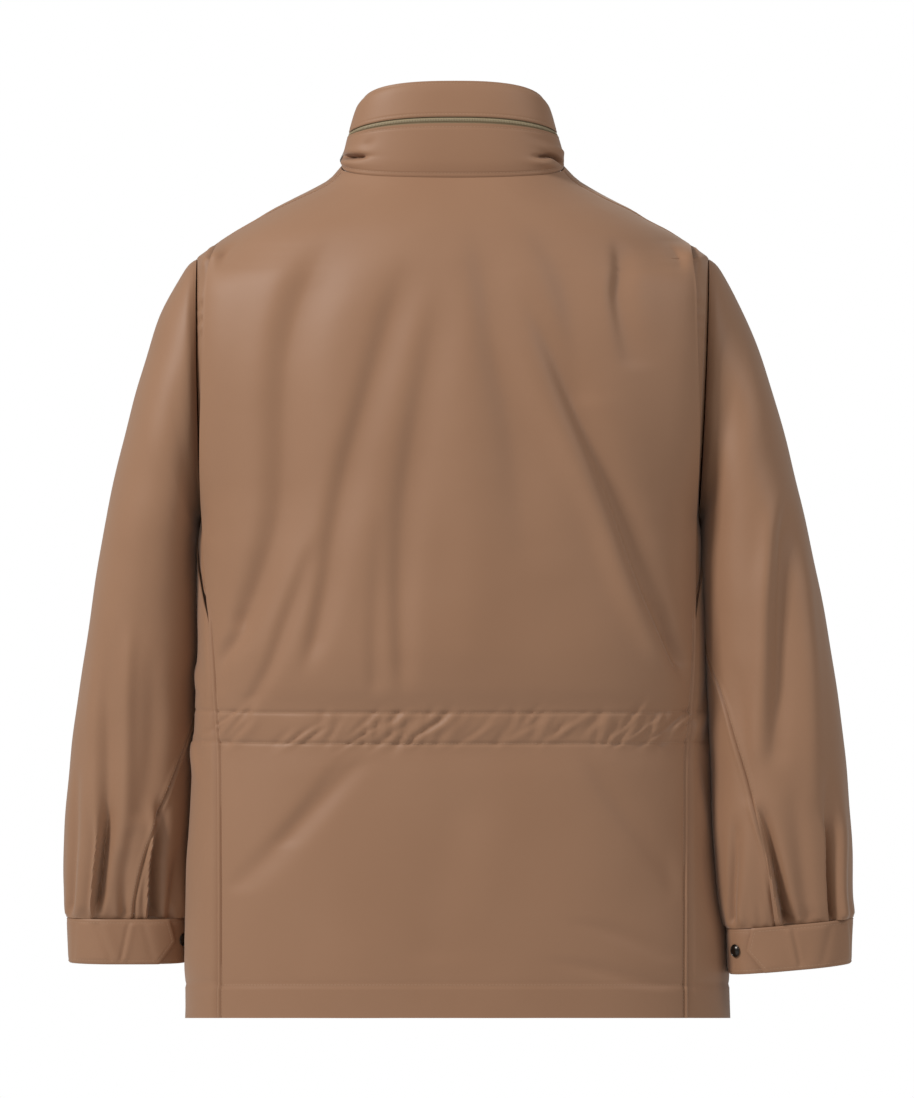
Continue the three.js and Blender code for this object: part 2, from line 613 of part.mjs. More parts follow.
function cuffSnap(side) {
  const angle = CUFF_ENDS[side < 0 ? "L" : "R"].snap * DEGREE;
  const surface = (u, v) => cuffPoint(side, angle - side * u, (SNAP.drop - v) / CUFF.height);
  const { radius, height } = SNAP;
  const rim = height * 0.35;
  const profile = [
    [0, 0],
    [radius, 0],
    [radius, rim],
    [radius * 0.93, rim + 0.35],
    [radius * 0.8, rim + 0.3],
    [radius * 0.66, height * 0.8],
    [radius * 0.4, height * 0.96],
    [0, height],
  ].map(([r, h]) => new THREE.Vector2(r, h));
  const button = new THREE.LatheGeometry(profile, 28).rotateX(Math.PI / 2);
  return button.applyMatrix4(frameAt(surface, 0, 0, SNAP.lift));
}

// A point of the collar at an angle round from the centre back and a height on its back.
function collarPoint(angle, h) {
  const ring = {};
  for (const name of ["left", "right", "back", "front", "sideZ", "backZ", "frontZ", "lean"]) {
    ring[name] = read(COLLAR_RINGS, "h", name, h);
  }
  const [across, share] = ringShares(angle, COLLAR.round);
  const y = -(share > 0 ? ring.back : ring.front) * share;
  const half = across < 0 ? ring.left : ring.right;
  return new THREE.Vector3(half * across, y, ring.sideZ + ringDrop(ring, share));
}

const COLLAR_END = 180 - COLLAR_FRONT_GAP;
const COLLAR_COLUMNS = [
  ...spread(-COLLAR_END, -COLLAR.zipEnd - 5, 6),
  ...spread(-COLLAR.zipEnd - 5, -COLLAR.zipEnd, 1),
  ...spread(-COLLAR.zipEnd, COLLAR.zipEnd, 30),
  ...spread(COLLAR.zipEnd, COLLAR.zipEnd + 5, 1),
  ...spread(COLLAR.zipEnd + 5, COLLAR_END, 6),
  COLLAR_END,
];

// A band of the collar between two columns of its facets and two heights.
function collarBand(firstColumn, lastColumn, low, high, rows, cloth, sink) {
  const angleOf = (u) => {
    const at = THREE.MathUtils.lerp(firstColumn, lastColumn, u);
    const i = Math.min(Math.floor(at), COLLAR_COLUMNS.length - 2);
    return THREE.MathUtils.lerp(COLLAR_COLUMNS[i], COLLAR_COLUMNS[i + 1], at - i);
  };
  const hOf = (u, v) => THREE.MathUtils.lerp(low(angleOf(u)), high, v);
  const surface = (u, v) => collarPoint(angleOf(u) * DEGREE, hOf(u, v));
  const rise = (u, v) => {
    const calm = ramp(hOf(u, v), 1, 8) * ramp(hOf(u, v), COLLAR.zipFrom, COLLAR.zipFrom - 8);
    let sum = -sink;
    for (const c of COLLAR_CREASES) {
      const [da, dh] = [(angleOf(u) - c.angle) / c.along, (hOf(u, v) - c.h) / c.across];
      sum -= calm * c.depth * Math.exp(-(da * da) - dh * dh);
    }
    return sum;
  };
  return wall(surface, lastColumn - firstColumn, rows, cloth, rise);
}

function collar() {
  const last = COLLAR_COLUMNS.length - 1;
  const stepAt = (a) => ramp(Math.abs(a), COLLAR.zipEnd, COLLAR.zipEnd + 5);
  const topLow = (a) => THREE.MathUtils.lerp(COLLAR.zipTo, COLLAR.zipFrom, stepAt(a));
  add("collar_stand", collarBand(0, last, () => 0, COLLAR.zipFrom - SEAM_GAP, 6, COLLAR.cloth, 0));
  add("collar_top", collarBand(0, last, topLow, COLLAR.top, 3, COLLAR.cloth, 0));
  const tapeTop = COLLAR.zipTo - SEAM_GAP;
  const zip = collarBand(9, last - 9, () => COLLAR.zipFrom, tapeTop, 1, COLLAR.zipTape, COLLAR.zipSink);
  add("collar_zip", zip, tape);
}

// Zip slider: its outline across the zip, with an eye under its bridge, extruded along the zip.
function zipSlider() {
  const s = SLIDER;
  const outline = new THREE.Shape();
  outline.moveTo(-s.half, 0).lineTo(s.half, 0).lineTo(s.half, s.base - 0.7).lineTo(s.half - 0.9, s.base);
  outline.lineTo(s.bridge, s.base).lineTo(s.bridge, s.top - 0.8).lineTo(s.bridge - 0.9, s.top);
  outline.lineTo(0.9 - s.bridge, s.top).lineTo(-s.bridge, s.top - 0.8).lineTo(-s.bridge, s.base);
  outline.lineTo(0.9 - s.half, s.base).lineTo(-s.half, s.base - 0.7).closePath();
  const eye = new THREE.Path();
  eye.moveTo(-s.eyeHalf, s.eyeLow).lineTo(-s.eyeHalf, s.eyeHigh).lineTo(s.eyeHalf, s.eyeHigh);
  eye.lineTo(s.eyeHalf, s.eyeLow).closePath();
  outline.holes.push(eye);
  const slider = new THREE.ExtrudeGeometry(outline, { depth: s.long, bevelEnabled: false });
  slider.translate(0, 0, -s.long / 2);
  // The outline is drawn up and outwards: turn it so that it runs along the zip
  return slider.applyMatrix4(new THREE.Matrix4().set(0, 0, 1, 0, 1, 0, 0, 0, 0, 1, 0, 0, 0, 0, 0, 1));
}

// Pull tab: a flat plate with a window for the bridge; its top bar is the hinge, at its origin.
function zipPull() {
  const p = PULL;
  const plate = new THREE.Shape();
  const low = p.rod / 2 - p.long;
  plate.moveTo(-p.half, p.rod / 2).lineTo(-p.half, low + p.corner).lineTo(p.corner - p.half, low);
  plate.lineTo(p.half - p.corner, low).lineTo(p.half, low + p.corner).lineTo(p.half, p.rod / 2).closePath();
  const window = new THREE.Path();
  window.moveTo(p.rail - p.half, -p.rod / 2).lineTo(p.half - p.rail, -p.rod / 2);
  window.lineTo(p.half - p.rail, -p.eye).lineTo(p.rail - p.half, -p.eye).closePath();
  plate.holes.push(window);
  const pull = new THREE.ExtrudeGeometry(plate, { depth: p.rod, bevelEnabled: false });
  return pull.translate(0, 0, -p.rod / 2);
}

// Placket: a strip over the centre front, from the hem to the top of the collar.
function placket() {
  const last = BODY_ROWS.length - 1;
  const neck = last / (last + PLACKET.collarRows);
  const surface = (u, v) => {
    const x = THREE.MathUtils.lerp(PLACKET.right, PLACKET.left, u);
    if (v > neck) {
      const h = ((v - neck) / (1 - neck)) * PLACKET.collarTop;
      const across = Math.abs(x) / read(COLLAR_RINGS, "h", x < 0 ? "left" : "right", h);
      const angle = Math.atan2(across, (1 - across ** COLLAR.round) ** (1 / COLLAR.round));
      return collarPoint(Math.sign(x) * (Math.PI - angle), h);
    }
    const z = rowHeight(v / neck, last, 0);
    return bodyPoint(angleAtX(x, z, true), z);
  };
  const out = PLACKET.cloth + PLACKET.above;
  return wall(surface, 4, last + PLACKET.collarRows, PLACKET.cloth, () => out);
}

add("back", backPanel());
for (const side of [-1, 1]) {
  const name = side < 0 ? "left" : "right";
  add("back_pleat_" + name, backPleat(side));
  add("front_" + name, front(side));
  sleeve(side);
  add("cuff_" + name, cuff(side));
  add("cuff_snap_" + name, cuffSnap(side), gunmetal);
}
add("front_placket", placket());
collar();

const onCollar = (u, v) => collarPoint(SLIDER.angle * DEGREE + u, SLIDER.h + v);
add("zip_slider", zipSlider().applyMatrix4(frameAt(onCollar, 0, 0, SLIDER.lift)), gunmetal);
const hingeLift = SLIDER.lift + (SLIDER.eyeLow + SLIDER.eyeHigh) / 2;
const pull = new THREE.Mesh(zipPull(), gunmetal);
pull.name = "zip_pull";
pull.applyMatrix4(frameAt(onCollar, 0, 0, hingeLift));
jacket.add(pull);

export default jacket;
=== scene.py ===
# %% [markdown]
# # A field jacket from behind
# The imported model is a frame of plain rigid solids. Each cloth panel is made again here as a thin
# shell on the form of its solid, so that it can have folds, puckers, seams and stitches that a
# collision model has no use for. The same short tables of sizes, in millimetres, give both.

# %% Load the frame
import math
import bpy
import numpy as np
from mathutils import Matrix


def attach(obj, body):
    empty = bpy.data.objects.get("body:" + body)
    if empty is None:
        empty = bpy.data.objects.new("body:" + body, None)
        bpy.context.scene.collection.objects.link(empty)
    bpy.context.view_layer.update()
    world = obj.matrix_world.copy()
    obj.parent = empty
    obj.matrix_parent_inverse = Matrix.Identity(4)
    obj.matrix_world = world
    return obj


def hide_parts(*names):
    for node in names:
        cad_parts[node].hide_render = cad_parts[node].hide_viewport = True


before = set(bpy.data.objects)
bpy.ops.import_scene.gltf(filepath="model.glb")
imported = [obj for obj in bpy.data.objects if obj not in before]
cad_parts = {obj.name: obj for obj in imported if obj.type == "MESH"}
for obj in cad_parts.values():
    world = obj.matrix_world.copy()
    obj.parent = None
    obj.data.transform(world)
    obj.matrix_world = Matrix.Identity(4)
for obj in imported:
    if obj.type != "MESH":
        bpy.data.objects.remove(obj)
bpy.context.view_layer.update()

# %% [markdown]
# ## Camera, floor and light
# The photo is a product shot: a long lens, level with the middle of the jacket, straight from
# behind. A 200 mm lens nearly six metres away gives the same flat view. The light is a large soft
# box high on the left, so the cloth's sheen shows each fold, and a weaker one on the right.

# %% Camera
MM = 0.001
PHOTO = (914, 1098)
MM_A_PIXEL = 0.93
LENS = 200
SENSOR = 36
VIEW_X, VIEW_Z = 0.0019, -0.3506  # the middle of the photo
view_height = PHOTO[1] * MM_A_PIXEL * MM
camera_distance = view_height * LENS / SENSOR


def deselect():
    bpy.ops.object.select_all(action="DESELECT")


deselect()
bpy.ops.object.camera_add(location=(VIEW_X, -camera_distance, VIEW_Z), rotation=(math.pi / 2, 0, 0))
camera = bpy.context.object
camera.data.lens = LENS
camera.data.sensor_width = SENSOR
camera.data.clip_end = 50
bpy.context.scene.camera = camera
print("camera", round(camera_distance, 3), "m away")

# %% Floor, sky and soft boxes
FLOOR_Z = -1.3
SKY_LIGHT = 0.3
deselect()
bpy.ops.mesh.primitive_plane_add(size=8, location=(0, 0, FLOOR_Z))
floor = bpy.context.object
floor.name = "studio_floor"


def soft_box(name, place, aim, size, watts, colour):
    """An area lamp that looks at a point."""
    deselect()
    bpy.ops.object.light_add(type="AREA", location=place)
    lamp = bpy.context.object
    lamp.name = name
    away = np.array(place) - np.array(aim)
    lamp.rotation_euler = (math.acos(away[2] / np.linalg.norm(away)), 0, math.atan2(away[0], -away[1]))
    lamp.data.shape = "RECTANGLE"
    lamp.data.size = size
    lamp.data.size_y = size
    lamp.data.energy = watts
    lamp.data.color = colour


soft_box("key_light", (-2.7, -2.0, 2.1), (0, 0, -0.12), 0.8, 118, (1, 0.985, 0.965))
soft_box("fill_light", (2.3, -2.3, 1.9), (0, 0, -0.2), 1.6, 31, (0.97, 0.985, 1))

world = bpy.data.worlds.new("studio")
bpy.context.scene.world = world
world.use_nodes = True
sky = world.node_tree.nodes["Background"]
sky.inputs["Color"].default_value = (1, 1, 1, 1)
seen = world.node_tree.nodes.new("ShaderNodeLightPath")
bright = world.node_tree.nodes.new("ShaderNodeMapRange")
bright.inputs["To Min"].default_value = SKY_LIGHT
bright.inputs["To Max"].default_value = 1.0  # what the camera sees is white
world.node_tree.links.new(seen.outputs["Is Camera Ray"], bright.inputs["Value"])
world.node_tree.links.new(bright.outputs["Result"], sky.inputs["Strength"])
bpy.context.scene.view_settings.view_transform = "Standard"

# %% [markdown]
# ## Writing shaders as sums
# A node tree is easier to read as arithmetic. One small class wraps a node's output and gives it
# the usual operators, so `1 - mask` adds the right Math node.

# %% A socket with operators


class Socket:
    """An output of a shader node that can be added, subtracted and multiplied."""

    def __init__(self, tree, output):
        self.tree = tree
        self.output = output

    def math(self, operation, first, second):
        return node(self.tree, "ShaderNodeMath", {"operation": operation}, {0: first, 1: second})

    def __add__(self, other):
        return self.math("ADD", self, other)

    __radd__ = __add__

    def __mul__(self, other):
        return self.math("MULTIPLY", self, other)

    __rmul__ = __mul__

    def __sub__(self, other):
        return self.math("SUBTRACT", self, other)

    def __rsub__(self, other):
        return self.math("SUBTRACT", other, self)


def plug(tree, value, socket):
    """Links a socket to a node's output, or sets its plain value."""
    if isinstance(value, Socket):
        tree.links.new(value.output, socket)
    else:
        socket.default_value = value


def node(tree, kind, settings, inputs, output=0):
    """Adds a node: its settings first, then its sockets' values or links."""
    made = tree.nodes.new(kind)
    for name, value in settings.items():
        setattr(made, name, value)
    for name, value in inputs.items():
        plug(tree, value, made.inputs[name])
    return Socket(tree, made.outputs[output])


def material(name, settings):
    """A new material with a Principled shader whose plain values are set here."""
    made = bpy.data.materials.new(name)
    made.use_nodes = True
    shader = made.node_tree.nodes["Principled BSDF"]
    for key, value in settings.items():
        shader.inputs[key].default_value = value
    return made, made.node_tree, shader


def feed(tree, shader, values):
    for name, value in values.items():
        plug(tree, value, shader.inputs[name])


def mix_colour(tree, factor, first, second):
    """Blend of two colours by a factor."""
    made = tree.nodes.new("ShaderNodeMix")
    made.data_type = "RGBA"
    for key, value in {"Factor": factor, "A": first, "B": second}.items():
        plug(tree, value, [s for s in made.inputs if s.name == key and s.enabled][0])
    return Socket(tree, [s for s in made.outputs if s.enabled][0])


def noise(tree, place, scale, detail, **more):
    inputs = {"Vector": place, "Scale": scale, "Detail": detail, **more}
    return node(tree, "ShaderNodeTexNoise", {}, inputs)


def bumpy(tree, strength, distance, height, **more):
    inputs = {"Strength": strength, "Distance": distance, "Height": height, **more}
    return node(tree, "ShaderNodeBump", {}, inputs)


# %% [markdown]
# ## The shell cloth
# It is a dense, smooth cotton satin: no weave shows from a step away, but the light glides along
# each fold. So the colour is nearly even with a faint mottle, the roughness varies a little, and
# the bump has a very fine diagonal twill with soft crumples from wear.

# %% Cloth material
BROWN = (0.327, 0.174, 0.098, 1)
BROWN_LIGHT = (0.362, 0.2, 0.117, 1)
BROWN_DARK = (0.285, 0.15, 0.083, 1)


TWILL_TURN = 0.75


def shell_cloth(name):
    sheen = {"Sheen Weight": 0.28, "Sheen Roughness": 0.45, "Sheen Tint": (1, 0.86, 0.74, 1)}
    made, tree, shader = material(name, {**sheen, "Specular IOR Level": 0.34})
    cloth_map = node(tree, "ShaderNodeUVMap", {"uv_map": "cloth"}, {})
    turned = node(tree, "ShaderNodeMapping", {}, {"Vector": cloth_map, "Rotation": (0, 0, TWILL_TURN)})
    twill = node(
        tree,
        "ShaderNodeTexWave",
        {"bands_direction": "X", "wave_profile": "SIN"},
        {"Vector": turned, "Scale": 420.0, "Distortion": 0.6, "Detail": 1.0, "Detail Scale": 2.0},
        output=1,
    )
    thread = noise(tree, cloth_map, 900.0, 2.0)
    mottle = noise(tree, cloth_map, 9.0, 4.0)
    crumple = noise(tree, cloth_map, 26.0, 3.0, Roughness=0.4)
    stretch = {"Value": mottle, "From Min": 0.3, "From Max": 0.7, "To Min": 0, "To Max": 1}
    patch = node(tree, "ShaderNodeMapRange", {}, stretch)
    base = mix_colour(tree, patch * 0.45, BROWN, BROWN_LIGHT)
    base = mix_colour(tree, (1 - thread) * 0.22, base, BROWN_DARK)
    rough = 0.5 + mottle * 0.12 - thread * 0.05
    soft = bumpy(tree, 0.35, 0.0012, crumple)
    fine = bumpy(tree, 0.12, 0.0001, twill * 0.6 + thread * 0.4, Normal=soft)
    feed(tree, shader, {"Base Color": base, "Roughness": rough, "Normal": fine})
    return made


cloth = shell_cloth("brown_satin")

# %% [markdown]
# ## Thread, zip tape and metal
# The thread is the cloth's own colour, a shade lighter. The zip's tape is olive. Its slider and the
# snaps are dark metal with a fine, uneven grain.

# %% Other materials


SPREAD = 0.24
GRAIN_DEPTH = 0.00005


def plain_material(name, colour, rough, grain, metal=0.0):
    """A finish with its own fine grain in colour, roughness and bump."""
    made, tree, shader = material(name, {"Metallic": metal})
    place = node(tree, "ShaderNodeTexCoord", {}, {}, output=3)
    speck = noise(tree, place, grain, 3.0)
    dark = tuple(c * (1 - SPREAD) for c in colour)
    light = tuple(min(c * (1 + SPREAD), 1) for c in colour)
    base = mix_colour(tree, speck, (*dark, 1), (*light, 1))
    fine = bumpy(tree, 0.4, GRAIN_DEPTH, speck)
    feed(tree, shader, {"Base Color": base, "Roughness": rough - 0.12 + speck * 0.24, "Normal": fine})
    return made


thread_material = plain_material("brown_thread", (0.39, 0.23, 0.14), 0.6, 4000.0)
tape_material = plain_material("olive_zip_tape", (0.33, 0.262, 0.155), 0.75, 2500.0)
teeth_material = plain_material("olive_zip_teeth", (0.35, 0.28, 0.17), 0.5, 1500.0)
gunmetal = plain_material("gunmetal", (0.055, 0.05, 0.046), 0.3, 900.0, metal=1.0)
zip_metal = plain_material("dark_steel", (0.2, 0.19, 0.18), 0.33, 1200.0, metal=1.0)

# %% [markdown]
# ## Sizes of the jacket
# The tables are the ones that the solids are made from: each row is a level of the body, a section
# of a sleeve or a ring of the collar. Values between rows come from a smooth curve.

# %% Tables and their smooth reading


def table(names, *rows):
    """Named columns from rows of numbers."""
    return dict(zip(names.split(), np.array(rows, float).T))


def read(rows, name, at):
    """A column at some places of the first column, on a smooth curve through the rows."""
    keys, values = next(iter(rows.values())), rows[name]
    way = np.sign(keys[-1] - keys[0])
    at = np.asarray(at, float)
    i = np.clip(np.searchsorted(keys * way, at * way, side="right") - 1, 0, len(keys) - 2)
    slope = np.empty_like(values)
    slope[1:-1] = (values[2:] - values[:-2]) / (keys[2:] - keys[:-2])
    slope[0] = (values[1] - values[0]) / (keys[1] - keys[0])
    slope[-1] = (values[-1] - values[-2]) / (keys[-1] - keys[-2])
    span = keys[i + 1] - keys[i]
    t = np.clip((at - keys[i]) / span, 0, 1)
    t2 = t * t
    t3 = t2 * t
    start = (2 * t3 - 3 * t2 + 1) * values[i] + (t3 - 2 * t2 + t) * span * slope[i]
    return start + (3 * t2 - 2 * t3) * values[i + 1] + (t3 - t2) * span * slope[i + 1]


def ramp(at, low, high):
    """0 at low, 1 at high, smooth between."""
    t = np.clip((at - low) / (high - low), 0, 1)
    return t * t * (3 - 2 * t)


def bump(distance, width):
    return np.exp(-((distance / width) ** 2))


def by_side(rows, at, side):
    """The left or the right column of a table, as the sign of side says."""
    return np.where(side < 0, read(rows, "left", at), read(rows, "right", at))


SIDE_NAME = {-1: "left", 1: "right"}
HAND = {-1: "L", 1: "R"}
NECK_SIDE_Z = 5.0
HEM_Z = -786.8
HEM_SLOPE = 0.077
SHOULDER_POINT_Z = -80.0
UNDERARM_Z = -320.0
PLEAT_TOP_Z = -62.0
PLEAT_BOTTOM_Z = -417.0
CASING_TOP_Z = -500.0
CASING_BOTTOM_Z = -528.0
HEM_STITCH_Z = -756.0
SEAM_GAP = 0.14
PLEAT_LIFT = 7.0
PLEAT_LIFT_WIDTH = 34.0
PLEAT_UNDERLAP = 20.0
NECK = {"sideZ": NECK_SIDE_Z, "backZ": -8.3, "frontZ": -45.0, "lean": -0.8}
ARMHOLE = {
    "topL": 240.0,
    "topR": 236.0,
    "bottomL": 235.0,
    "bottomR": 226.0,
    "middleY": 3.0,
    "halfDepth": 55.0,
}

SHOULDER_WIDTHS = table(
    "z left right",
    (5, 106, 102),
    (-7.4, 117.4, 114.4),
    (-16.7, 133.9, 129.3),
    (-26, 152.9, 146.4),
    (-35.3, 171, 165.1),
    (-44.6, 186, 179.5),
    (-54, 201.8, 197.3),
    (-63, 216.5, 212),
    (-72.5, 229.5, 225.5),
    (-80, 240, 236),
)
BODY_WIDTHS = table(
    "z left right",
    (-320, 235, 226),
    (-342, 238.2, 228.9),
    (-360, 238.2, 229.4),
    (-396, 237.7, 231.1),
    (-436, 237.8, 232.7),
    (-482, 239.4, 234.7),
    (-533, 241.6, 237.2),
    (-586, 244.4, 239.3),
    (-640, 247.2, 242.4),
    (-700, 249.2, 249.5),
    (-740, 250, 253.4),
    (-787, 249.6, 255.2),
)
BODY_DEPTHS = table(
    "z back front round",
    (5, 54, 60, 2.5),
    (-16, 69, 73, 2.3),
    (-35, 82, 83, 2.15),
    (-60, 97, 96, 2.15),
    (-80, 104, 103, 2.3),
    (-120, 114, 112, 2.5),
    (-170, 121, 120, 2.6),
    (-230, 125, 126, 2.6),
    (-300, 127, 129, 2.6),
    (-380, 129, 130, 2.5),
    (-440, 130, 129, 2.5),
    (-475, 126, 125, 2.5),
    (-500, 120, 120, 2.5),
    (-528, 118, 119, 2.5),
    (-560, 121, 123, 2.5),
    (-650, 125, 131, 2.5),
    (-787, 127, 138, 2.5),
)
BACK_EDGES = table(
    "z left right",
    (-65, 219.5, 218.5),
    (-84, 224, 217.5),
    (-110, 225.5, 217),
    (-160, 226.5, 217.5),
    (-230, 228.5, 219),
    (-305, 230.3, 219),
    (-330, 230.2, 219.5),
    (-361, 230, 220.5),
    (-398, 229, 222),
    (-417, 227.5, 222.5),
    (-454, 225, 222),
    (-491, 223, 220),
    (-535, 220, 215.8),
    (-600, 219, 215),
    (-787, 218.5, 214),
)

# %% [markdown]
# ## The form of the body
# A level of the body is an oval that can be squarer than an ellipse. The sides of the oval follow
# the outline, and between the shoulder point and the underarm the armhole's loop says where the
# panels end.

# %% Points of the body


def ring_shares(angle, round_):
    """Shares of the half width and the depth at an angle of a ring."""
    s, c = np.sin(angle), np.cos(angle)
    size = (np.abs(s) ** round_ + np.abs(c) ** round_) ** (-1 / round_)
    return s * size, c * size


def armhole_at(z, side):
    middle = (SHOULDER_POINT_Z + UNDERARM_Z) / 2
    lift = np.clip((z - middle) / (SHOULDER_POINT_Z - middle), -1, 1)
    bottom = np.where(side < 0, ARMHOLE["bottomL"], ARMHOLE["bottomR"])
    top = np.where(side < 0, ARMHOLE["topL"], ARMHOLE["topR"])
    x = bottom + (top - bottom) * (lift + 1) / 2
    return x, ARMHOLE["halfDepth"] * np.sqrt(1 - lift * lift)


def section(z, side, is_front):
    """Half width, depth and squareness of the body at a height."""
    depth = np.where(is_front, read(BODY_DEPTHS, "front", z), read(BODY_DEPTHS, "back", z))
    round_ = read(BODY_DEPTHS, "round", z)
    hole_x, half_y = armhole_at(z, side)
    y = np.maximum(half_y + np.where(is_front, 1, -1) * ARMHOLE["middleY"], 0)
    half = hole_x / (1 - (y / depth) ** round_) ** (1 / round_)
    half = np.where(z <= UNDERARM_Z, by_side(BODY_WIDTHS, z, side), half)
    half = np.where(z >= SHOULDER_POINT_Z, by_side(SHOULDER_WIDTHS, z, side), half)
    return half, depth, round_


def ring_drop(ring, share):
    """Rise of a tilted ring above its sides. A lean of 1 tilts it evenly, less keeps its back level."""
    slope = ring["lean"] * (ring["backZ"] - ring["frontZ"]) / 2
    end = np.where(share > 0, ring["backZ"] - slope, ring["frontZ"] + slope)
    return slope * share + (end - ring["sideZ"]) * share * share


def body_point(angle, z):
    """A point of the body at an angle round from the centre back and a height."""
    half, depth, round_ = section(z, np.sign(angle), np.cos(angle) < 0)
    across, share = ring_shares(angle, round_)
    y = -depth * share
    neck = ring_drop(NECK, share)
    tilt = neck * ramp(z, -78, NECK_SIDE_Z) - HEM_SLOPE * y * ramp(z, -600, HEM_Z)
    return np.stack([half * across, y, z + tilt], -1)


def angle_at_x(x, z, is_front=False):
    half, _, round_ = section(z, np.sign(x), is_front)
    across = np.minimum(np.abs(x) / half, 1)
    angle = np.arctan2(across, (1 - across**round_) ** (1 / round_))
    return np.sign(x) * (np.pi - angle if is_front else angle)


def gap_between(a, b):
    return np.linalg.norm(a - b, axis=-1)


def along_ring(angle, z, side, distance):
    """An angle moved along its ring by a distance, round towards the front."""
    start = body_point(side * angle, z)
    turn = np.full_like(angle, np.sign(distance) * 0.01)
    for _ in range(5):
        turn = turn * abs(distance) / gap_between(start, body_point(side * (angle + turn), z))
    return angle + turn


def fold_angle(z, side):
    return np.abs(angle_at_x(side * by_side(BACK_EDGES, z, side), z))


def seam_angle(z, side):
    """The seam of front and back: over the shoulder, and at the side under the arm."""
    shoulder = np.radians(90 - 12 * ramp(z, SHOULDER_POINT_Z, NECK_SIDE_Z))
    low = fold_angle(z, side)
    below = np.pi / 2 + (low - np.pi / 2) * ramp(z, UNDERARM_Z, PLEAT_BOTTOM_Z)
    return np.where(z > SHOULDER_POINT_Z, shoulder, below)


def back_edge(z, side):
    """The back panel's own edge: shoulder seam, fold of the pleat, side seam."""
    seam = along_ring(seam_angle(z, side), z, side, -SEAM_GAP / 2)
    pleated = (z < PLEAT_TOP_Z) & (z > PLEAT_BOTTOM_Z)
    return np.where(pleated, np.minimum(fold_angle(z, side), seam), seam)


def side_edge(z, side, is_front):
    """Where a front starts, and where a pleat ends."""
    hole = np.abs(angle_at_x(side * armhole_at(z, side)[0], z, is_front))
    in_hole = (z <= SHOULDER_POINT_Z) & (z >= UNDERARM_Z)
    angle = np.where(in_hole, hole, seam_angle(z, side))
    return along_ring(angle, z, side, (1 if is_front else -1) * SEAM_GAP / 2)


# %% [markdown]
# ## Cloth as a bent grid
# Every panel is a flat grid that is bent: each point goes to its place on the form, then moves in or
# out by a relief, which is the sum of folds, puckers and seams. A Solidify modifier then gives the
# shell its thickness inwards. The grid's UV map holds real metres, so the weave keeps its size.

# %% The panel maker
CLOTH_WALL = 0.9
surfaces = {}


def pick(obj):
    deselect()
    obj.select_set(True)
    bpy.context.view_layer.objects.active = obj


def smooth(obj, degrees):
    """Smooth shading apart from edges that turn by more than an angle."""
    pick(obj)
    bpy.ops.object.shade_smooth_by_angle(angle=math.radians(degrees))


def outer_face(place, relief, u, v):
    """Points of place(u, v) lifted by relief(u, v, points), and the directions that face outwards."""
    step = 1e-4
    across = place(np.minimum(u + step, 1), v) - place(np.maximum(u - step, 0), v)
    upward = place(u, np.minimum(v + step, 1)) - place(u, np.maximum(v - step, 0))
    normal = np.cross(across, upward)
    normal /= np.linalg.norm(normal, axis=1)[:, None]
    points = place(u, v)
    return points + normal * relief(u, v, points)[:, None], normal


def panel(name, place, relief, columns, rows, width, height, thickness=CLOTH_WALL, finish=cloth, crowd=None):
    """A shell whose outer face is a bent grid, in millimetres. Its UV map is width by height."""
    surfaces[name] = (place, relief)
    deselect()
    bpy.ops.mesh.primitive_grid_add(x_subdivisions=columns, y_subdivisions=rows, size=1)
    obj = bpy.context.object
    obj.name = name
    mesh = obj.data
    flat = np.empty(len(mesh.vertices) * 3)
    mesh.vertices.foreach_get("co", flat)
    uv = flat.reshape(-1, 3)[:, :2] + 0.5
    if crowd:
        uv[:, 0] = np.interp(uv[:, 0], *crowd)
    points = outer_face(place, relief, uv[:, 0], uv[:, 1])[0]
    mesh.vertices.foreach_set("co", (points * MM).ravel())
    corner = np.empty(len(mesh.loops), int)
    mesh.loops.foreach_get("vertex_index", corner)
    cloth_map = mesh.uv_layers.active
    cloth_map.name = "cloth"
    cloth_map.data.foreach_set("uv", (uv[corner] * (np.array([width, height]) * MM)).ravel())
    pick(obj)
    bpy.ops.object.modifier_add(type="SOLIDIFY")
    wall = obj.modifiers[-1]
    wall.thickness = thickness * MM
    wall.offset = -1
    bpy.ops.object.modifier_apply(modifier=wall.name)
    smooth(obj, 60)
    obj.data.materials.append(finish)


# %% [markdown]
# ## Folds
# The long folds fan out from between the shoulders and sink into the waist. Each is a trough along
# a line that a few rows give: height, sideways place, depth and width. A trough that is pulled
# tight has a raised lip on one side. Puckers at the casing are short slanted ripples.

# %% Fold tables


def fold(*rows, lip=0.0, reach=1.25):
    """A fold's table, and its lip: on the left below 0. A row with 4 values has walls alike."""
    columns = "z x depth left right"
    return table(columns, *[row if len(row) == 5 else (*row, row[-1]) for row in rows]), lip, reach


def fold_field(folds, x, z):
    """Sum of troughs and lips at places of a flat plan."""
    total = np.zeros_like(x)
    for rows, lip, reach in folds:
        top, low = rows["z"][0], rows["z"][-1]
        slope = (read(rows, "x", z + 2) - read(rows, "x", z - 2)) / 4
        away = (x - read(rows, "x", z)) / np.sqrt(1 + slope * slope)
        left = np.maximum(read(rows, "left", z), 1)
        right = np.maximum(read(rows, "right", z), 1)
        beside = left if lip < 0 else right
        shape = bump(away, np.where(away < 0, left, right))
        shape -= abs(lip) * bump(away - np.sign(lip) * 1.5 * reach * beside, reach * beside)
        fade = ramp(z, top, top - 0.2 * (top - low)) * ramp(z, low, low + 0.1 * (top - low))
        total -= read(rows, "depth", z) * fade * shape
    return total


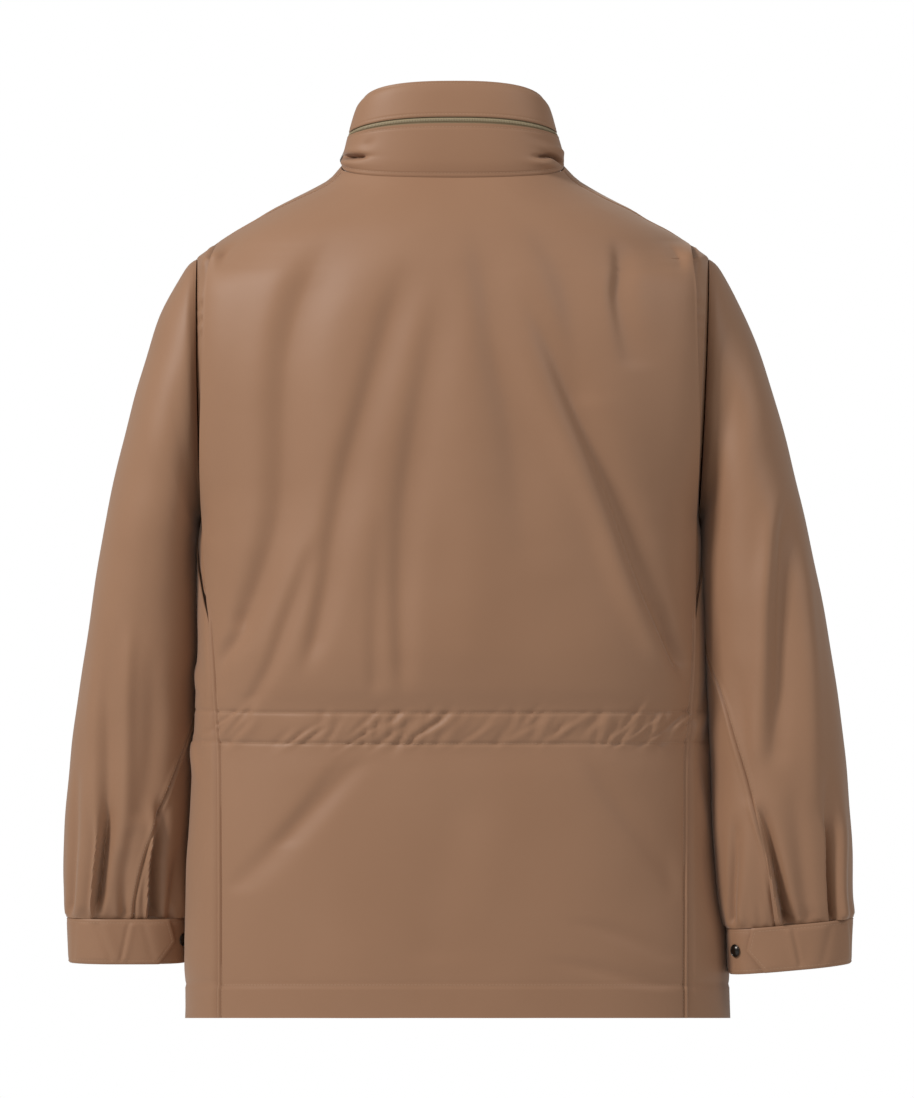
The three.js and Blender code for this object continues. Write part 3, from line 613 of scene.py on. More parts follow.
def swell(x, z, seed, length, height):
    """Broad, uneven undulation with no direction of its own."""
    rng = np.random.default_rng(seed)
    total = np.zeros_like(x)
    for _ in range(7):
        turn = rng.uniform(0, math.pi)
        pitch = length * rng.uniform(0.7, 1.5)
        phase, bend = rng.uniform(0, 2 * math.pi, 2)
        run = x * math.cos(turn) + z * math.sin(turn)
        cross = z * math.cos(turn) - x * math.sin(turn)
        total += np.sin(2 * math.pi * run / pitch + phase + 1.2 * np.sin(cross / pitch * 2.1 + bend))
    return total * height / 7**0.5


# Rows of a fold: height, sideways place, depth, width of its left and of its right wall
BACK_FOLDS = [
    fold(
        (-30, -66, 1, 16, 26),
        (-69, -113, 5, 16, 32),
        (-110, -136, 7, 16, 32),
        (-162, -151, 8, 16, 30),
        (-221, -156, 8, 16, 28),
        (-281, -158, 8, 15, 28),
        (-325, -163, 8.5, 13, 26),
        (-378, -180, 8.5, 10, 20),
        (-422, -199, 7.5, 8, 16),
        (-466, -217, 5, 6, 12),
        lip=-0.15,
    ),
    fold(
        (-60, -31, 1, 13, 20),
        (-125, -54, 4, 12, 20),
        (-177, -69, 5, 12, 20),
        (-229, -84, 5.5, 11, 20),
        (-281, -99, 6, 11, 20),
        (-333, -110, 6, 10, 18),
        (-378, -117, 6, 9, 15),
        (-430, -128, 5, 7, 12),
        (-474, -140, 3, 6, 10),
    ),
    fold(
        (-330, -123, 1, 8, 11),
        (-380, -141, 3.5, 7, 11),
        (-415, -154, 4.5, 7, 10),
        (-459, -170, 4, 6, 9),
        (-500, -193, 2, 6, 8),
    ),
    fold(
        (-80, -3, 1, 14, 20),
        (-162, -20, 3.5, 13, 22),
        (-244, -35, 4.5, 12, 22),
        (-318, -46, 5, 11, 20),
        (-385, -50, 5, 9, 15),
        (-444, -49, 4, 8, 12),
        (-494, -46, 2, 6, 9),
    ),
    fold((-300, -64, 0.5, 9, 11), (-415, -72, 2.5, 8, 11), (-488, -73, 2, 6, 9)),
    fold(
        (-30, 19, 1, 16, 26),
        (-95, 28, 4, 15, 28),
        (-169, 39, 4.5, 15, 30),
        (-244, 54, 4, 15, 30),
        (-311, 61, 2.5, 16, 28),
        (-380, 70, 1, 16, 24),
    ),
    fold(
        (-95, 55, 1, 12, 16),
        (-139, 76, 3.5, 10, 16),
        (-214, 106, 6, 7, 18),
        (-266, 128, 7.5, 6, 18),
        (-325, 151, 8, 5, 17),
        (-385, 173, 8, 5, 15),
        (-444, 199, 6.5, 4.5, 11),
        (-480, 215, 4, 4, 8),
        lip=-0.7,
        reach=2.2,
    ),
    fold((-36, 66, 1, 13, 24), (-102, 99, 4, 13, 26), (-169, 113, 3.5, 14, 26), (-225, 122, 1, 14, 22)),
    fold((-58, 147, 1, 6, 12), (-90, 151, 5, 6, 14), (-120, 149, 5, 6, 15), (-190, 163, 1, 10, 16)),
    fold((-250, 216, 1, 8, 12), (-340, 207, 4, 7, 12), (-410, 211, 4, 6, 9), (-450, 218, 2, 5, 7)),
    fold((-390, 180, 0.5, 5, 9), (-425, 195, 3, 5, 9), (-462, 208, 3, 5, 7)),
    fold((-400, -196, 1, 6, 9), (-440, -212, 3, 6, 8), (-486, -222, 2, 5, 7)),
    fold(
        (-60, 12, -1, 26, 26),
        (-200, 10, -2.5, 26, 26),
        (-340, 16, -2.5, 26, 26),
        (-480, 12, -1, 24, 24),
    ),
    fold(
        (-530, -92, 1, 7, 12),
        (-593, -139, 3.5, 8, 14),
        (-638, -177, 3, 9, 14),
        (-672, -210, 1, 10, 12),
    ),
    fold((-536, -80, 1, 6, 9), (-575, -116, 2, 7, 10), (-625, -162, 1, 8, 10)),
    fold((-530, 113, 1, 7, 12), (-586, 151, 2.5, 8, 14), (-645, 195, 2, 9, 14), (-680, 212, 1, 10, 12)),
    fold((-560, 12, 0.8, 20, 24), (-650, -6, 1.6, 24, 28), (-740, -20, 1, 30, 30)),
    fold((-730, 92, 0.5, 7, 9), (-745, 140, 1.4, 6, 9), (-762, 200, 0.8, 6, 8)),
    fold((-690, 110, 0.5, 8, 9), (-712, 160, 1.4, 7, 9), (-736, 208, 0.8, 7, 8)),
]
FRONT_FOLDS = [
    fold((-90, -92, 2, 16), (-210, -128, 5.5, 15), (-330, -150, 5.5, 13), (-450, -186, 4, 9), lip=0.5),
    fold((-90, 90, 2, 16), (-200, 126, 5.5, 15), (-330, 158, 5.5, 12), (-455, 190, 4, 9), lip=-0.5),
    fold((-160, -58, 1.5, 13), (-300, -82, 3.5, 12), (-460, -98, 2.5, 10), lip=0.4),
    fold((-150, 64, 1.5, 13), (-310, 76, 3.5, 12), (-460, 92, 2.5, 10), lip=-0.4),
    fold((-545, -88, 1.5, 10), (-600, -134, 3, 12), (-662, -176, 1.5, 13), lip=-0.4),
    fold((-545, 94, 1.5, 10), (-605, 140, 3, 12), (-658, 178, 1.5, 13), lip=0.4),
    fold((-418, -243, 0.5, 4), (-452, -235, 3.5, 4), (-486, -226, 2, 4), lip=-0.8),
    fold((-500, -243, 0.5, 4), (-530, -236, 3, 4), (-566, -227, 1.5, 4), lip=-0.8),
    fold((-580, -228, 0.5, 5), (-640, -236, 2.5, 5), (-716, -245, 0.5, 5), lip=0.8),
    fold((-430, 243, 0.5, 4), (-470, 234, 4, 4), (-505, 224, 2, 4), lip=0.8),
    fold((-460, 246, 0.5, 4), (-500, 237, 4, 4), (-540, 227, 2, 4), lip=0.8),
    fold((-525, 222, 1, 4), (-570, 231, 4, 5), (-640, 243, 1, 5), lip=-0.8),
    fold((-590, 224, 0.5, 5), (-650, 233, 2.5, 5), (-730, 244, 0.5, 5), lip=-0.8),
]
# Clusters of puckers along the casing
CASING_PUCKERS = table(
    "middle reach count height",
    (-200, 18, 5, 1.8),
    (-128, 32, 8, 1.5),
    (-48, 46, 17, 2.0),
    (24, 22, 4, 1.0),
    (78, 28, 7, 1.3),
    (172, 46, 17, 2.0),
)
# Least and most of each pucker's own sizes
PUCKER = {"lean": (0.1, 1.2), "width": (2.2, 4.6), "share": (0.6, 1.3), "fade": (3, 12), "tall": (7, 17)}
PUCKER_LIMIT = 2


def casing_relief(x, z, seed):
    """The drawstring tunnel: a low roll between two stitch rows, with slanted puckers."""
    middle = (CASING_TOP_Z + CASING_BOTTOM_Z) / 2
    t = np.clip((z - CASING_BOTTOM_Z) / (CASING_TOP_Z - CASING_BOTTOM_Z), 0, 1)
    rng = np.random.default_rng(seed)
    uneven = 0.75 + 0.25 * np.sin(x / 13 + 2 * np.sin(x / 31 + seed))
    roll = 1.7 * np.sin(np.pi * t) ** 0.8 * uneven * ramp(np.abs(x), 234, 212)
    outside = np.maximum(np.abs(z - middle) - (CASING_TOP_Z - CASING_BOTTOM_Z) / 2, 0)
    puckers = np.zeros_like(x)
    for at, reach, count, height in zip(*CASING_PUCKERS.values()):
        steps = (np.arange(count) + rng.uniform(0.1, 0.9, int(count))) / count
        for place in at + reach * (2 * steps - 1):
            lean = rng.uniform(*PUCKER["lean"])
            width = rng.uniform(*PUCKER["width"])
            deep = height * rng.uniform(*PUCKER["share"])
            far = rng.uniform(*PUCKER["fade"])
            centre = middle + rng.uniform(-12, 12)
            tall = rng.uniform(*PUCKER["tall"])
            line = place + lean * np.clip(z - centre, -16, 16) + 0.25 * lean * (z - centre)
            away = x - line
            dip = bump(away + 0.5 * width, width) - 0.75 * bump(away - 1.6 * width, 1.4 * width)
            puckers -= deep * dip * np.exp(-outside / far) * bump(z - centre, tall)
    puckers = PUCKER_LIMIT * np.tanh(puckers / PUCKER_LIMIT)
    rows = bump(z - CASING_TOP_Z, 1.5) + bump(z - CASING_BOTTOM_Z, 1.5)
    return roll + puckers - 1.0 * rows


def hem_relief(z):
    """The hem is doubled below its stitch row."""
    return 0.7 * ramp(z, HEM_STITCH_Z + 1, HEM_STITCH_Z - 2) - 0.6 * bump(z - HEM_STITCH_Z, 1.4)


SEAM_ROW = 5.2  # from a felled seam's edge to its stitch row


def below_pleat(z):
    return ramp(z, PLEAT_BOTTOM_Z + 20, PLEAT_BOTTOM_Z - 10)


def seam_relief(inward, z):
    """The felled side and shoulder seams are raised strips beside the edge, with a stitch row."""
    strip = 1.0 * (1 - ramp(inward, 4.4, 6.0)) - 2.2 * bump(inward - SEAM_ROW, 1.2)
    above = ramp(z, PLEAT_TOP_Z - 4, PLEAT_TOP_Z + 8)
    return (strip - 2.4 * bump(inward, 1.4)) * (below_pleat(z) + 0.45 * above)


# %% Heights of the grid's rows, closer together at the casing and the hem
ROW_KNOTS = table(
    "v z",
    (0.0, HEM_Z),
    (0.055, -748),
    (0.24, -550),
    (0.42, -480),
    (0.93, -62),
    (1.0, NECK_SIDE_Z),
)


def height_at(v, low=0.0, high=1.0):
    return np.interp(low + (high - low) * v, ROW_KNOTS["v"], ROW_KNOTS["z"])


def share_of(z):
    return float(np.interp(z, ROW_KNOTS["z"], ROW_KNOTS["v"]))


# %% [markdown]
# ## Back
# The back is cut in one piece. Beside each armhole it folds under in an action pleat, so the edge
# stands free of the underlay until the pleat closes above the waist.

# %% Back panel


def back_angle(u, z):
    left = -back_edge(z, -1)
    return left + (back_edge(z, 1) - left) * u


def back_place(u, v):
    """The back on the body's form, with the bends at the shoulder point and underarm softened."""
    z = height_at(v)
    points = body_point(back_angle(u, z), z)
    near = [body_point(back_angle(u, z + step), z + step) for step in (-27, -18, -9, 9, 18, 27)]
    soft = ramp(np.minimum(u, 1 - u), 0.0, 0.06) * (bump(z + 80, 44) + bump(z + 320, 30))
    return points + soft[:, None] * (sum(near) / 6 - points)


def back_relief(u, v, points):
    z = height_at(v)
    x = points[:, 0]
    total = np.zeros_like(x)
    edge_left = gap_between(body_point(-back_edge(z, -1), z), points)
    edge_right = gap_between(body_point(back_edge(z, 1), z), points)
    inward = np.minimum(edge_left, edge_right)
    opened = ramp(z, PLEAT_TOP_Z + 2, -120) * ramp(z, PLEAT_BOTTOM_Z - 3, -230)
    total += PLEAT_LIFT * opened * bump(inward, PLEAT_LIFT_WIDTH)
    start = PLEAT_UNDERLAP * 1.2 * ramp(z, PLEAT_BOTTOM_Z - 36, PLEAT_BOTTOM_Z - 6)
    calm = ramp(inward, start, start + 26)
    total += calm * (fold_field(BACK_FOLDS, x, z) + swell(x, z, 3, 120, 0.5))
    total += casing_relief(x, z, 11) * ramp(inward, 0, 6) + hem_relief(z) + seam_relief(inward, z)
    total += 0.5 * bump(inward, 1.2) * opened
    return total


BACK_CROWD = ((0, 0.07, 0.93, 1), (0, 0.03, 0.97, 1))
panel("back_cloth", back_place, back_relief, 172, 250, 490, 800, crowd=BACK_CROWD)

# %% [markdown]
# ## Pleat underlays
# A strip of cloth joins the fold to the armhole seam. It lies deeper than the back, and it is
# gathered into small tucks where the seam pulls it.

# %% Underlays
ARMHOLE_SINK = 2.6
PLEAT_ALLOWANCE = 2.6  # what lies under the sleeve's seam
PLEAT_GAP = 4.0  # the underlay falls away beneath the fold's edge


def pleat(side):
    low, high = share_of(PLEAT_BOTTOM_Z), share_of(PLEAT_TOP_Z)

    def angle_of(u, z):
        inner = along_ring(back_edge(z, side), z, side, -PLEAT_UNDERLAP)
        outer = along_ring(side_edge(z, side, False), z, side, PLEAT_ALLOWANCE)
        return inner + (outer - inner) * (1 - u if side < 0 else u)

    def place(u, v):
        z = height_at(v, low, high)
        return body_point(side * angle_of(u, z), z)

    def relief(u, v, points):
        z = height_at(v, low, high)
        edge = back_edge(z, side)
        past = np.sign(angle_of(u, z) - edge)
        outward = past * gap_between(points, body_point(side * edge, z))
        sewn = gap_between(points, body_point(side * side_edge(z, side, False), z))
        sunk = -(3.6 + 2.5 * ramp(z, -115, -72)) * (1 - ramp(outward, 3, 14))
        sunk -= PLEAT_GAP * bump(outward, 2.2) * ramp(z, PLEAT_BOTTOM_Z + 4, PLEAT_BOTTOM_Z + 60)
        sunk -= ARMHOLE_SINK * bump(sewn, 4) * ramp(z, PLEAT_TOP_Z, -100)
        tucks = 0.9 * np.sin(z / 3.1 + 2 * np.sin(z / 11)) * bump(outward - 14, 8) * ramp(z, -190, -130)
        return sunk + tucks

    panel("pleat_cloth_" + SIDE_NAME[side], place, relief, 24, 150, 45, 360)


pleat(-1)
pleat(1)

# %% [markdown]
# ## Fronts and fly
# Each front runs from the side seam round the side to the centre front. The fly is a plain strip
# over the closure, from the hem to the top of the collar. The photo doesn't show this side, so it
# carries only the folds and stitch rows that such a jacket must have.

# %% Fronts
SIDE_TOUCH = 1.6  # the sides swell until they lean on the sleeves
CENTRE_GAP = 0.0008  # half of the angle between the fronts


def front(side):
    def angle_of(u, z):
        start = side_edge(z, side, True)
        return side * (start + (np.pi - CENTRE_GAP - start) * (1 - u if side < 0 else u))

    def place(u, v):
        z = height_at(v)
        return body_point(angle_of(u, z), z)

    def relief(u, v, points):
        z = height_at(v)
        x = points[:, 0]
        inward = gap_between(points, body_point(side * side_edge(z, side, True), z))
        calm = ramp(np.abs(x), 34, 60) * ramp(inward, 2, 40)
        total = calm * (fold_field(FRONT_FOLDS, x, z) + swell(x, z, 21 + side, 110, 0.5))
        total -= 0.85 * np.minimum(total, 0) * ramp(np.abs(x), 226, 236)
        total += casing_relief(x, z, 31 + side) * ramp(np.abs(x), 48, 70) * ramp(inward, 0, 6)
        in_hole = ramp(z, SHOULDER_POINT_Z, -100) * ramp(z, UNDERARM_Z, -300)
        total -= 1.2 * bump(inward, 4) * in_hole
        total -= 2.2 * bump(inward, 1.5) * below_pleat(z)
        total += 1.8 * (side > 0) * ramp(x, 225, 240) * bump(z + 705, 18)
        total += SIDE_TOUCH * ramp(np.abs(x), 205, 234) * ramp(z, -312, -328) * ramp(z, -762, -738)
        return total + hem_relief(z)

    panel("front_cloth_" + SIDE_NAME[side], place, relief, 84, 200, 400, 800)


front(-1)
front(1)

# %% Collar rings, which the fly follows too
COLLAR_ROUND = 2.6
COLLAR_RINGS = table(
    "h left right back front sideZ backZ frontZ lean",
    (0, 105.5, 101.5, 54, 60, 6, -7.3, -43.7, -0.8),
    (14, 104, 100.5, 55.5, 61, 17, 7, -31, -0.4),
    (40, 100, 96.5, 54, 59, 32.4, 43, -3, 0.03),
    (46, 98.8, 95, 53.5, 58.5, 36.8, 48.2, 1, 0.03),
    (70, 93.2, 89.3, 50.5, 55, 51.5, 71.5, 19, 1),
    (80, 87.5, 84, 48, 52.5, 57.5, 81.2, 26, 1),
)


def collar_point(angle, h):
    ring = {name: read(COLLAR_RINGS, name, h) for name in COLLAR_RINGS}
    across, share = ring_shares(angle, COLLAR_ROUND)
    y = -np.where(share > 0, ring["back"], ring["front"]) * share
    z = ring["sideZ"] + ring_drop(ring, share)
    half = np.where(np.sin(angle) < 0, ring["left"], ring["right"])
    tuck = np.minimum(h, 0)
    inside = 1 + 0.01 * tuck
    return np.stack([half * across * inside, y * inside, z + tuck], -1)


# %% Fly strip
FLY = {"left": -30.0, "right": 24.0, "cloth": 2.2, "above": 0.6, "collarTop": 77.0}
FLY_NECK = 0.885


def fly_place(u, v):
    x = FLY["right"] + (FLY["left"] - FLY["right"]) * u
    h = np.clip((v - FLY_NECK) / (1 - FLY_NECK), 0, 1) * FLY["collarTop"]
    across = np.abs(x) / by_side(COLLAR_RINGS, h, x)
    angle = np.arctan2(across, (1 - across**COLLAR_ROUND) ** (1 / COLLAR_ROUND))
    upper = collar_point(np.sign(x) * (np.pi - angle), h)
    z = height_at(np.minimum(v / FLY_NECK, 1))
    lower = body_point(angle_at_x(x, z, True), z)
    return np.where((v > FLY_NECK)[:, None], upper, lower)


def fly_relief(u, v, points):
    x = points[:, 0]
    edge = np.minimum(x - FLY["left"], FLY["right"] - x)
    lie = FLY["cloth"] + FLY["above"] + 0.25 * np.sin(points[:, 2] / 31 + x / 9)
    return lie - 0.5 * bump(edge - 5, 1.2) - 0.6 * (1 - ramp(edge, 0, 1.2))


panel("fly_cloth", fly_place, fly_relief, 28, 200, 54, 890, FLY["cloth"] - 0.3)

# %% [markdown]
# ## Sleeves
# A sleeve hangs from the armhole, so its sections fan out from the underarm and only lower down lie
# level. It is cut in two pieces: the upper one goes round the outside, and the seam between them at
# the back turns round the elbow and runs down to the cuff, where small pleats take in the fullness.

# %% Sleeve tables
SLEEVE = table(
    "row outL outR outZ inL inR inZ midL midR depth round seamL seamR",
    (0, 240, 236, -80, 235, 226, -320, 3, 3, 55, 2, 176, 176),
    (1, 252.5, 248, -93, 237.5, 228.5, -323, 3, 3, 61, 2, 176, 176),
    (2, 275.5, 271.5, -138, 239, 229.5, -328, 4, 1.5, 64, 2, 176, 176),
    (3, 294, 292, -193, 239.5, 229.8, -335, 6, -3, 67, 2.1, 176, 176),
    (4, 308, 307, -249, 239.5, 230, -345, 9, -7, 68, 2.1, 176, 176),
    (5, 321.5, 320, -305, 239, 230, -364, 13, -12, 68, 2.2, 176, 176),
    (6, 331.5, 333, -361, 238, 231.3, -396, 18, -17, 67, 2.2, 176, 176),
    (7, 341, 344, -417, 237.5, 232.7, -436, 23, -21, 66, 2.2, 175, 170),
    (8, 350, 353, -472, 239, 234.5, -482, 28, -25, 65, 2.2, 168, 145),
    (9, 357, 359.5, -528, 240.5, 236.8, -533, 33, -28, 63, 2.3, 142, 128.5),
    (10, 363.5, 364.5, -584, 243, 238.5, -586, 38, -31, 61, 2.3, 122, 116),
    (11, 367, 367.5, -632, 246, 241, -632, 43, -33, 57, 2.4, 109, 108),
    (12, 366.5, 368.5, -672, 247, 245.3, -672, 47, -34, 50, 2.6, 100, 105.5),
    (13, 364, 368, -695, 248.8, 250.5, -695, 50, -35, 43, 3.1, 97, 105),
)
LAST_RING = len(SLEEVE["row"]) - 1
INNER_SLEEVE_SEAM = 238.0
SLEEVE_START = 0.0035
SLEEVE_TOUCH = 1.4
CUFF_TILT = {"L": 0.0, "R": 0.09}
# Rows of a fold: height, angle round from the outer point in degrees, depth and width
SLEEVE_FOLDS = {
    "L": [
        fold(
            (-420, 56, 0.5, 9, 9),
            (-500, 63, 4, 8, 9),
            (-584, 71, 6, 5, 9),
            (-615, 70, 11, 2.2, 8),
            (-650, 67, 13, 1.7, 7),
            (-700, 61, 13, 1.5, 6),
            lip=-0.4,
        ),
        fold((-400, 76, -0.5, 8), (-470, 81, -3, 7), (-584, 88, -3.5, 7), (-650, 88, -2, 8)),
        fold((-540, 34, 1, 7), (-610, 40, 3.5, 7), (-697, 36, 5, 6), lip=0.5),
        fold(
            (-570, 119, 0.5, 6, 7),
            (-612, 118, 9, 2.4, 7),
            (-640, 115, 13, 1.8, 7),
            (-700, 111, 15, 1.6, 8),
            lip=-0.3,
        ),
        fold((-600, 96, 1, 7), (-660, 90, 3.5, 6), (-698, 88, 4, 5)),
        fold((-625, 140, 0.5, 5, 8), (-665, 134, 3.5, 4, 8), (-699, 128, 4, 3, 7), lip=0.4),
        fold((-430, 100, 0.5, 9), (-520, 108, 2.5, 9), (-610, 104, 2, 9), lip=0.3),
        fold((-120, 120, 0.5, 12), (-220, 130, 2, 12), (-330, 140, 1, 12)),
        fold((-380, 287, 1, 12), (-480, 276, 4, 12), (-600, 262, 2, 12)),
        fold((-560, 305, 1, 9), (-640, 303, 5, 8), (-697, 300, 6, 6)),
        fold((-540, 330, 1, 9), (-640, 332, 4, 8), (-697, 334, 5, 6)),
        fold((-560, 212, 1, 9), (-640, 208, 3, 8), (-697, 205, 4, 6)),
    ],
    "R": [
        fold(
            (-285, 38, 1, 12, 8),
            (-340, 60, 6.5, 15, 8),
            (-400, 76, 8.5, 16, 8),
            (-480, 88, 8, 16, 8),
            (-560, 98, 2, 14, 8),
            lip=0.5,
        ),
        fold((-330, 36, -0.5, 10), (-420, 50, -3, 10), (-520, 60, -3, 10), (-600, 66, -1, 10)),
        fold(
            (-540, 48, 0.5, 8, 8),
            (-590, 52, 4, 8, 5),
            (-612, 53, 10, 7, 2.2),
            (-650, 55, 13, 6, 1.7),
            (-700, 56, 13, 5, 1.5),
            lip=-0.5,
        ),
        fold((-560, 82, 1, 9), (-640, 78, 3.5, 8), (-698, 76, 3, 7), lip=0.4),
        fold(
            (-575, 111, 0.5, 6, 5),
            (-615, 106, 9, 7, 2.4),
            (-660, 100, 14, 7, 1.8),
            (-700, 96, 16, 8, 1.6),
            lip=0.35,
        ),
        fold((-440, 128, 0.5, 10), (-520, 122, 2.5, 9), (-590, 118, 1.5, 8)),
        fold((-390, 288, 1, 12), (-500, 276, 4, 12), (-610, 264, 2, 12)),
        fold((-570, 303, 1, 9), (-640, 301, 5, 8), (-697, 300, 6, 6)),
        fold((-560, 334, 1, 9), (-640, 335, 4, 8), (-697, 336, 5, 6)),
        fold((-590, 132, 1, 8, 5), (-640, 138, 5, 7, 4), (-700, 146, 5, 6, 4), lip=-0.4),
    ],
}


# %% Points of a sleeve


def sleeve_point(side, angle, share):
    """A point of a sleeve, at an angle round from its outer point towards the back."""
    hand = HAND[side]
    at = share * LAST_RING
    col = {name: read(SLEEVE, name, at) for name in SLEEVE}
    out_x, in_x = col["out" + hand], col["in" + hand]
    back, outward = ring_shares(angle, col["round"])
    middle_x = (out_x + in_x) / 2
    x = middle_x + (out_x - middle_x) * outward
    middle_z = (col["outZ"] + col["inZ"]) / 2
    z = middle_z + (col["outZ"] - middle_z) * outward
    z = z + CUFF_TILT[hand] * (x - middle_x) * ramp(share, 0.8, 1)
    return np.stack([side * x, col["mid" + hand] - col["depth"] * back, z], -1)


def elbow_angle(side, share):
    return np.radians(read(SLEEVE, "seam" + HAND[side], share * LAST_RING))


def sleeve_relief(side, degrees, points, share):
    z = points[:, 2]
    total = np.zeros_like(z)
    for turned in (degrees, degrees + 360):
        total += fold_field(SLEEVE_FOLDS[HAND[side]], turned, z)
    total += swell(degrees, z, 41 + side, 95, 0.6) * ramp(share, 0.02, 0.15) * ramp(share, 1.0, 0.93)
    total += SLEEVE_TOUCH * bump(degrees - 180, 34) * ramp(z, -318, -334) * ramp(share, 1.0, 0.99)
    puff = 1.2 * bump(z + 690, 14) * np.sin(degrees / 4.3 + 2 * np.sin(degrees / 17)) ** 2
    sewn_in = 0.5 * (1 - ramp(share, SLEEVE_START, 0.02))
    return total * ramp(share, 0.0, 0.04) + puff * ramp(share, 1.0, 0.985) - sewn_in


def sleeve_panel(name, side, from_angle, to_angle, grid_size, uv_size, crowd):
    def grid(u, v):
        share = SLEEVE_START + (1 - SLEEVE_START) * (1 - v)
        across = 1 - u if side < 0 else u
        start, end = from_angle(share), to_angle(share)
        return start + (end - start) * across, share

    def place(u, v):
        return sleeve_point(side, *grid(u, v))

    def relief(u, v, points):
        angle, share = grid(u, v)
        edge = np.minimum(np.abs(angle - from_angle(share)), np.abs(angle - to_angle(share))) * 60
        seam = 0.8 * bump(edge - 3, 2.4) - 1.5 * bump(edge, 1.2)
        return sleeve_relief(side, np.degrees(angle), points, share) + seam

    dense, wide = crowd
    steps = ((0, 1 - dense, 1), (0, 1 - wide, 1)) if (side < 0) else ((0, dense, 1), (0, wide, 1))
    panel(name + SIDE_NAME[side], place, relief, *grid_size, *uv_size, crowd=steps)


def sleeve(side):
    gap = math.radians(0.06)
    front_seam = math.radians(INNER_SLEEVE_SEAM)

    def upper_from(share):
        return elbow_angle(side, share) - gap

    def upper_to(share):
        return np.full_like(share, front_seam - 2 * math.pi + gap)

    def under_from(share):
        return np.full_like(share, front_seam - gap)

    def under_to(share):
        return elbow_angle(side, share) + gap

    sleeve_panel("sleeve_upper_cloth_", side, upper_from, upper_to, (140, 215), (330, 640), (0.7, 0.53))
    sleeve_panel("sleeve_under_cloth_", side, under_from, under_to, (64, 180), (140, 440), (0.35, 0.62))


sleeve(-1)
sleeve(1)

# %% [markdown]
# ## Cuffs
# A cuff is a strip wound round the sleeve's end. Its pointed end lies over its plain one, which
# carries the snap. It is two layers of cloth, so it is thicker and keeps crisp edges.

# %% Cuffs
CUFF = {"height": 42.0, "taper": 0.97, "cloth": 2.0, "underEnd": 86.0}
OVER_LIFT = 3.6
OVER_LIFT_FROM = 402.0
CUFF_ENDS = {
    "L": {"top": 128.0, "tip": 134.0, "bottom": 120.0, "snap": 146.0},
    "R": {"top": 124.0, "tip": 129.0, "bottom": 114.0, "snap": 142.0},
}
# Rows: angle, lean from top to bottom, depth, width of a cuff's creases
CUFF_CREASES = {
    "L": [
        (89, -9, 1.1, 1.8),
        (70, 16, 0.9, 3.0),
        (40, -6, 0.6, 4.0),
        (110, 10, 0.5, 3.0),
        (250, 8, 0.8, 3.0),
    ],
    "R": [
        (86, -9, 1.1, 1.8),
        (60, 8, 0.6, 3.5),
        (30, -10, 0.7, 3.5),
        (255, -8, 0.8, 3.0),
        (300, 6, 0.6, 3.0),
    ],
}


def cuff_point(side, angle, down):
    hand = HAND[side]
    out_x, in_x = SLEEVE["out" + hand][-1], SLEEVE["in" + hand][-1]
    half = (out_x - in_x) / 2 * (1 + (CUFF["taper"] - 1) * down)
    back, outward = ring_shares(angle, SLEEVE["round"][-1])
    y = SLEEVE["mid" + hand][-1] - SLEEVE["depth"][-1] * back
    z = SLEEVE["outZ"][-1] - 0.3 - CUFF["height"] * down + CUFF_TILT[hand] * half * outward
    return np.stack([side * ((out_x + in_x) / 2 + half * outward), y, z], -1)


def cuff_grid(side, u, v):
    end = CUFF_ENDS[HAND[side]]
    last = 360 + np.interp(v, (0, 0.5, 1), (end["bottom"], end["tip"], end["top"]))
    share = 1 - u if side < 0 else u
    return last + (CUFF["underEnd"] - last) * share, last


def cuff_relief(side, u, v):
    degrees, last = cuff_grid(side, u, v)
    lift = OVER_LIFT * ramp(degrees, OVER_LIFT_FROM, OVER_LIFT_FROM + 34)
    edge = np.minimum(np.minimum(v, 1 - v) * CUFF["height"], np.abs(last - degrees) * 0.95)
    rolled = -1.1 * (1 - ramp(edge, 0, 1.5)) - 0.45 * bump(edge - 3.2, 0.9)
    wave = 0.5 * np.sin(np.radians(degrees) * 5 + side) * np.sin(v * 3 + degrees / 40)
    for angle, lean, depth, width in CUFF_CREASES[HAND[side]]:
        away = (degrees % 360) - angle - lean * (0.5 - v)
        wave = wave - depth * (bump(away, width) - 0.6 * bump(away - 2.2 * width, 1.8 * width))
    return lift + rolled + wave * ramp(edge, 2, 6)


def cuff(side):
    def place(u, v):
        return cuff_point(side, np.radians(cuff_grid(side, u, v)[0]), 1 - v)

    def relief(u, v, points):
        return cuff_relief(side, u, v)

    panel("cuff_cloth_" + SIDE_NAME[side], place, relief, 260, 30, 375, 42, CUFF["cloth"])


cuff(-1)
cuff(1)

# %% [markdown]
# ## Collar
# The collar stands up round the neck. A zip for a hidden hood runs round it, between a lower band
# and an upper one whose edge overlaps the zip a little. Where the collar bends round at the sides
# the lower band is pinched into a deep crease, with a soft roll under it.

# %% Collar bands
COLLAR = {"zipFrom": 40.0, "zipTo": 45.0, "top": 80.0, "zipEnd": 122.0}
COLLAR_END = 179.93
# Rows: angle, height, depth, reach across and along, and slope of each crease or roll
COLLAR_CREASES = table(
    "angle h depth across along slope",
    (-68, 13.4, 10.0, 2.1, 14, 0.12),
    (-53, 15.4, 5.0, 1.6, 5, 0.1),
    (-68, 6.8, -3.4, 4.0, 16, 0.08),
    (-60, 20.5, -1.2, 4.0, 12, 0.1),
    (-47, 26, 1.0, 4.0, 4, 0.3),
    (51, 15.8, 8.0, 1.7, 6, -0.04),
    (67, 10.2, 11.0, 2.1, 11, -0.52),
    (52, 8.5, -3.4, 4.0, 10, -0.3),
    (70, 19, -2.6, 4.5, 14, -0.3),
    (48, 30, 0.7, 4.0, 9, -0.3),
    (120, 18, 2.5, 4.0, 14, 0.1),
    (-122, 18, 2.5, 4.0, 14, -0.1),
)


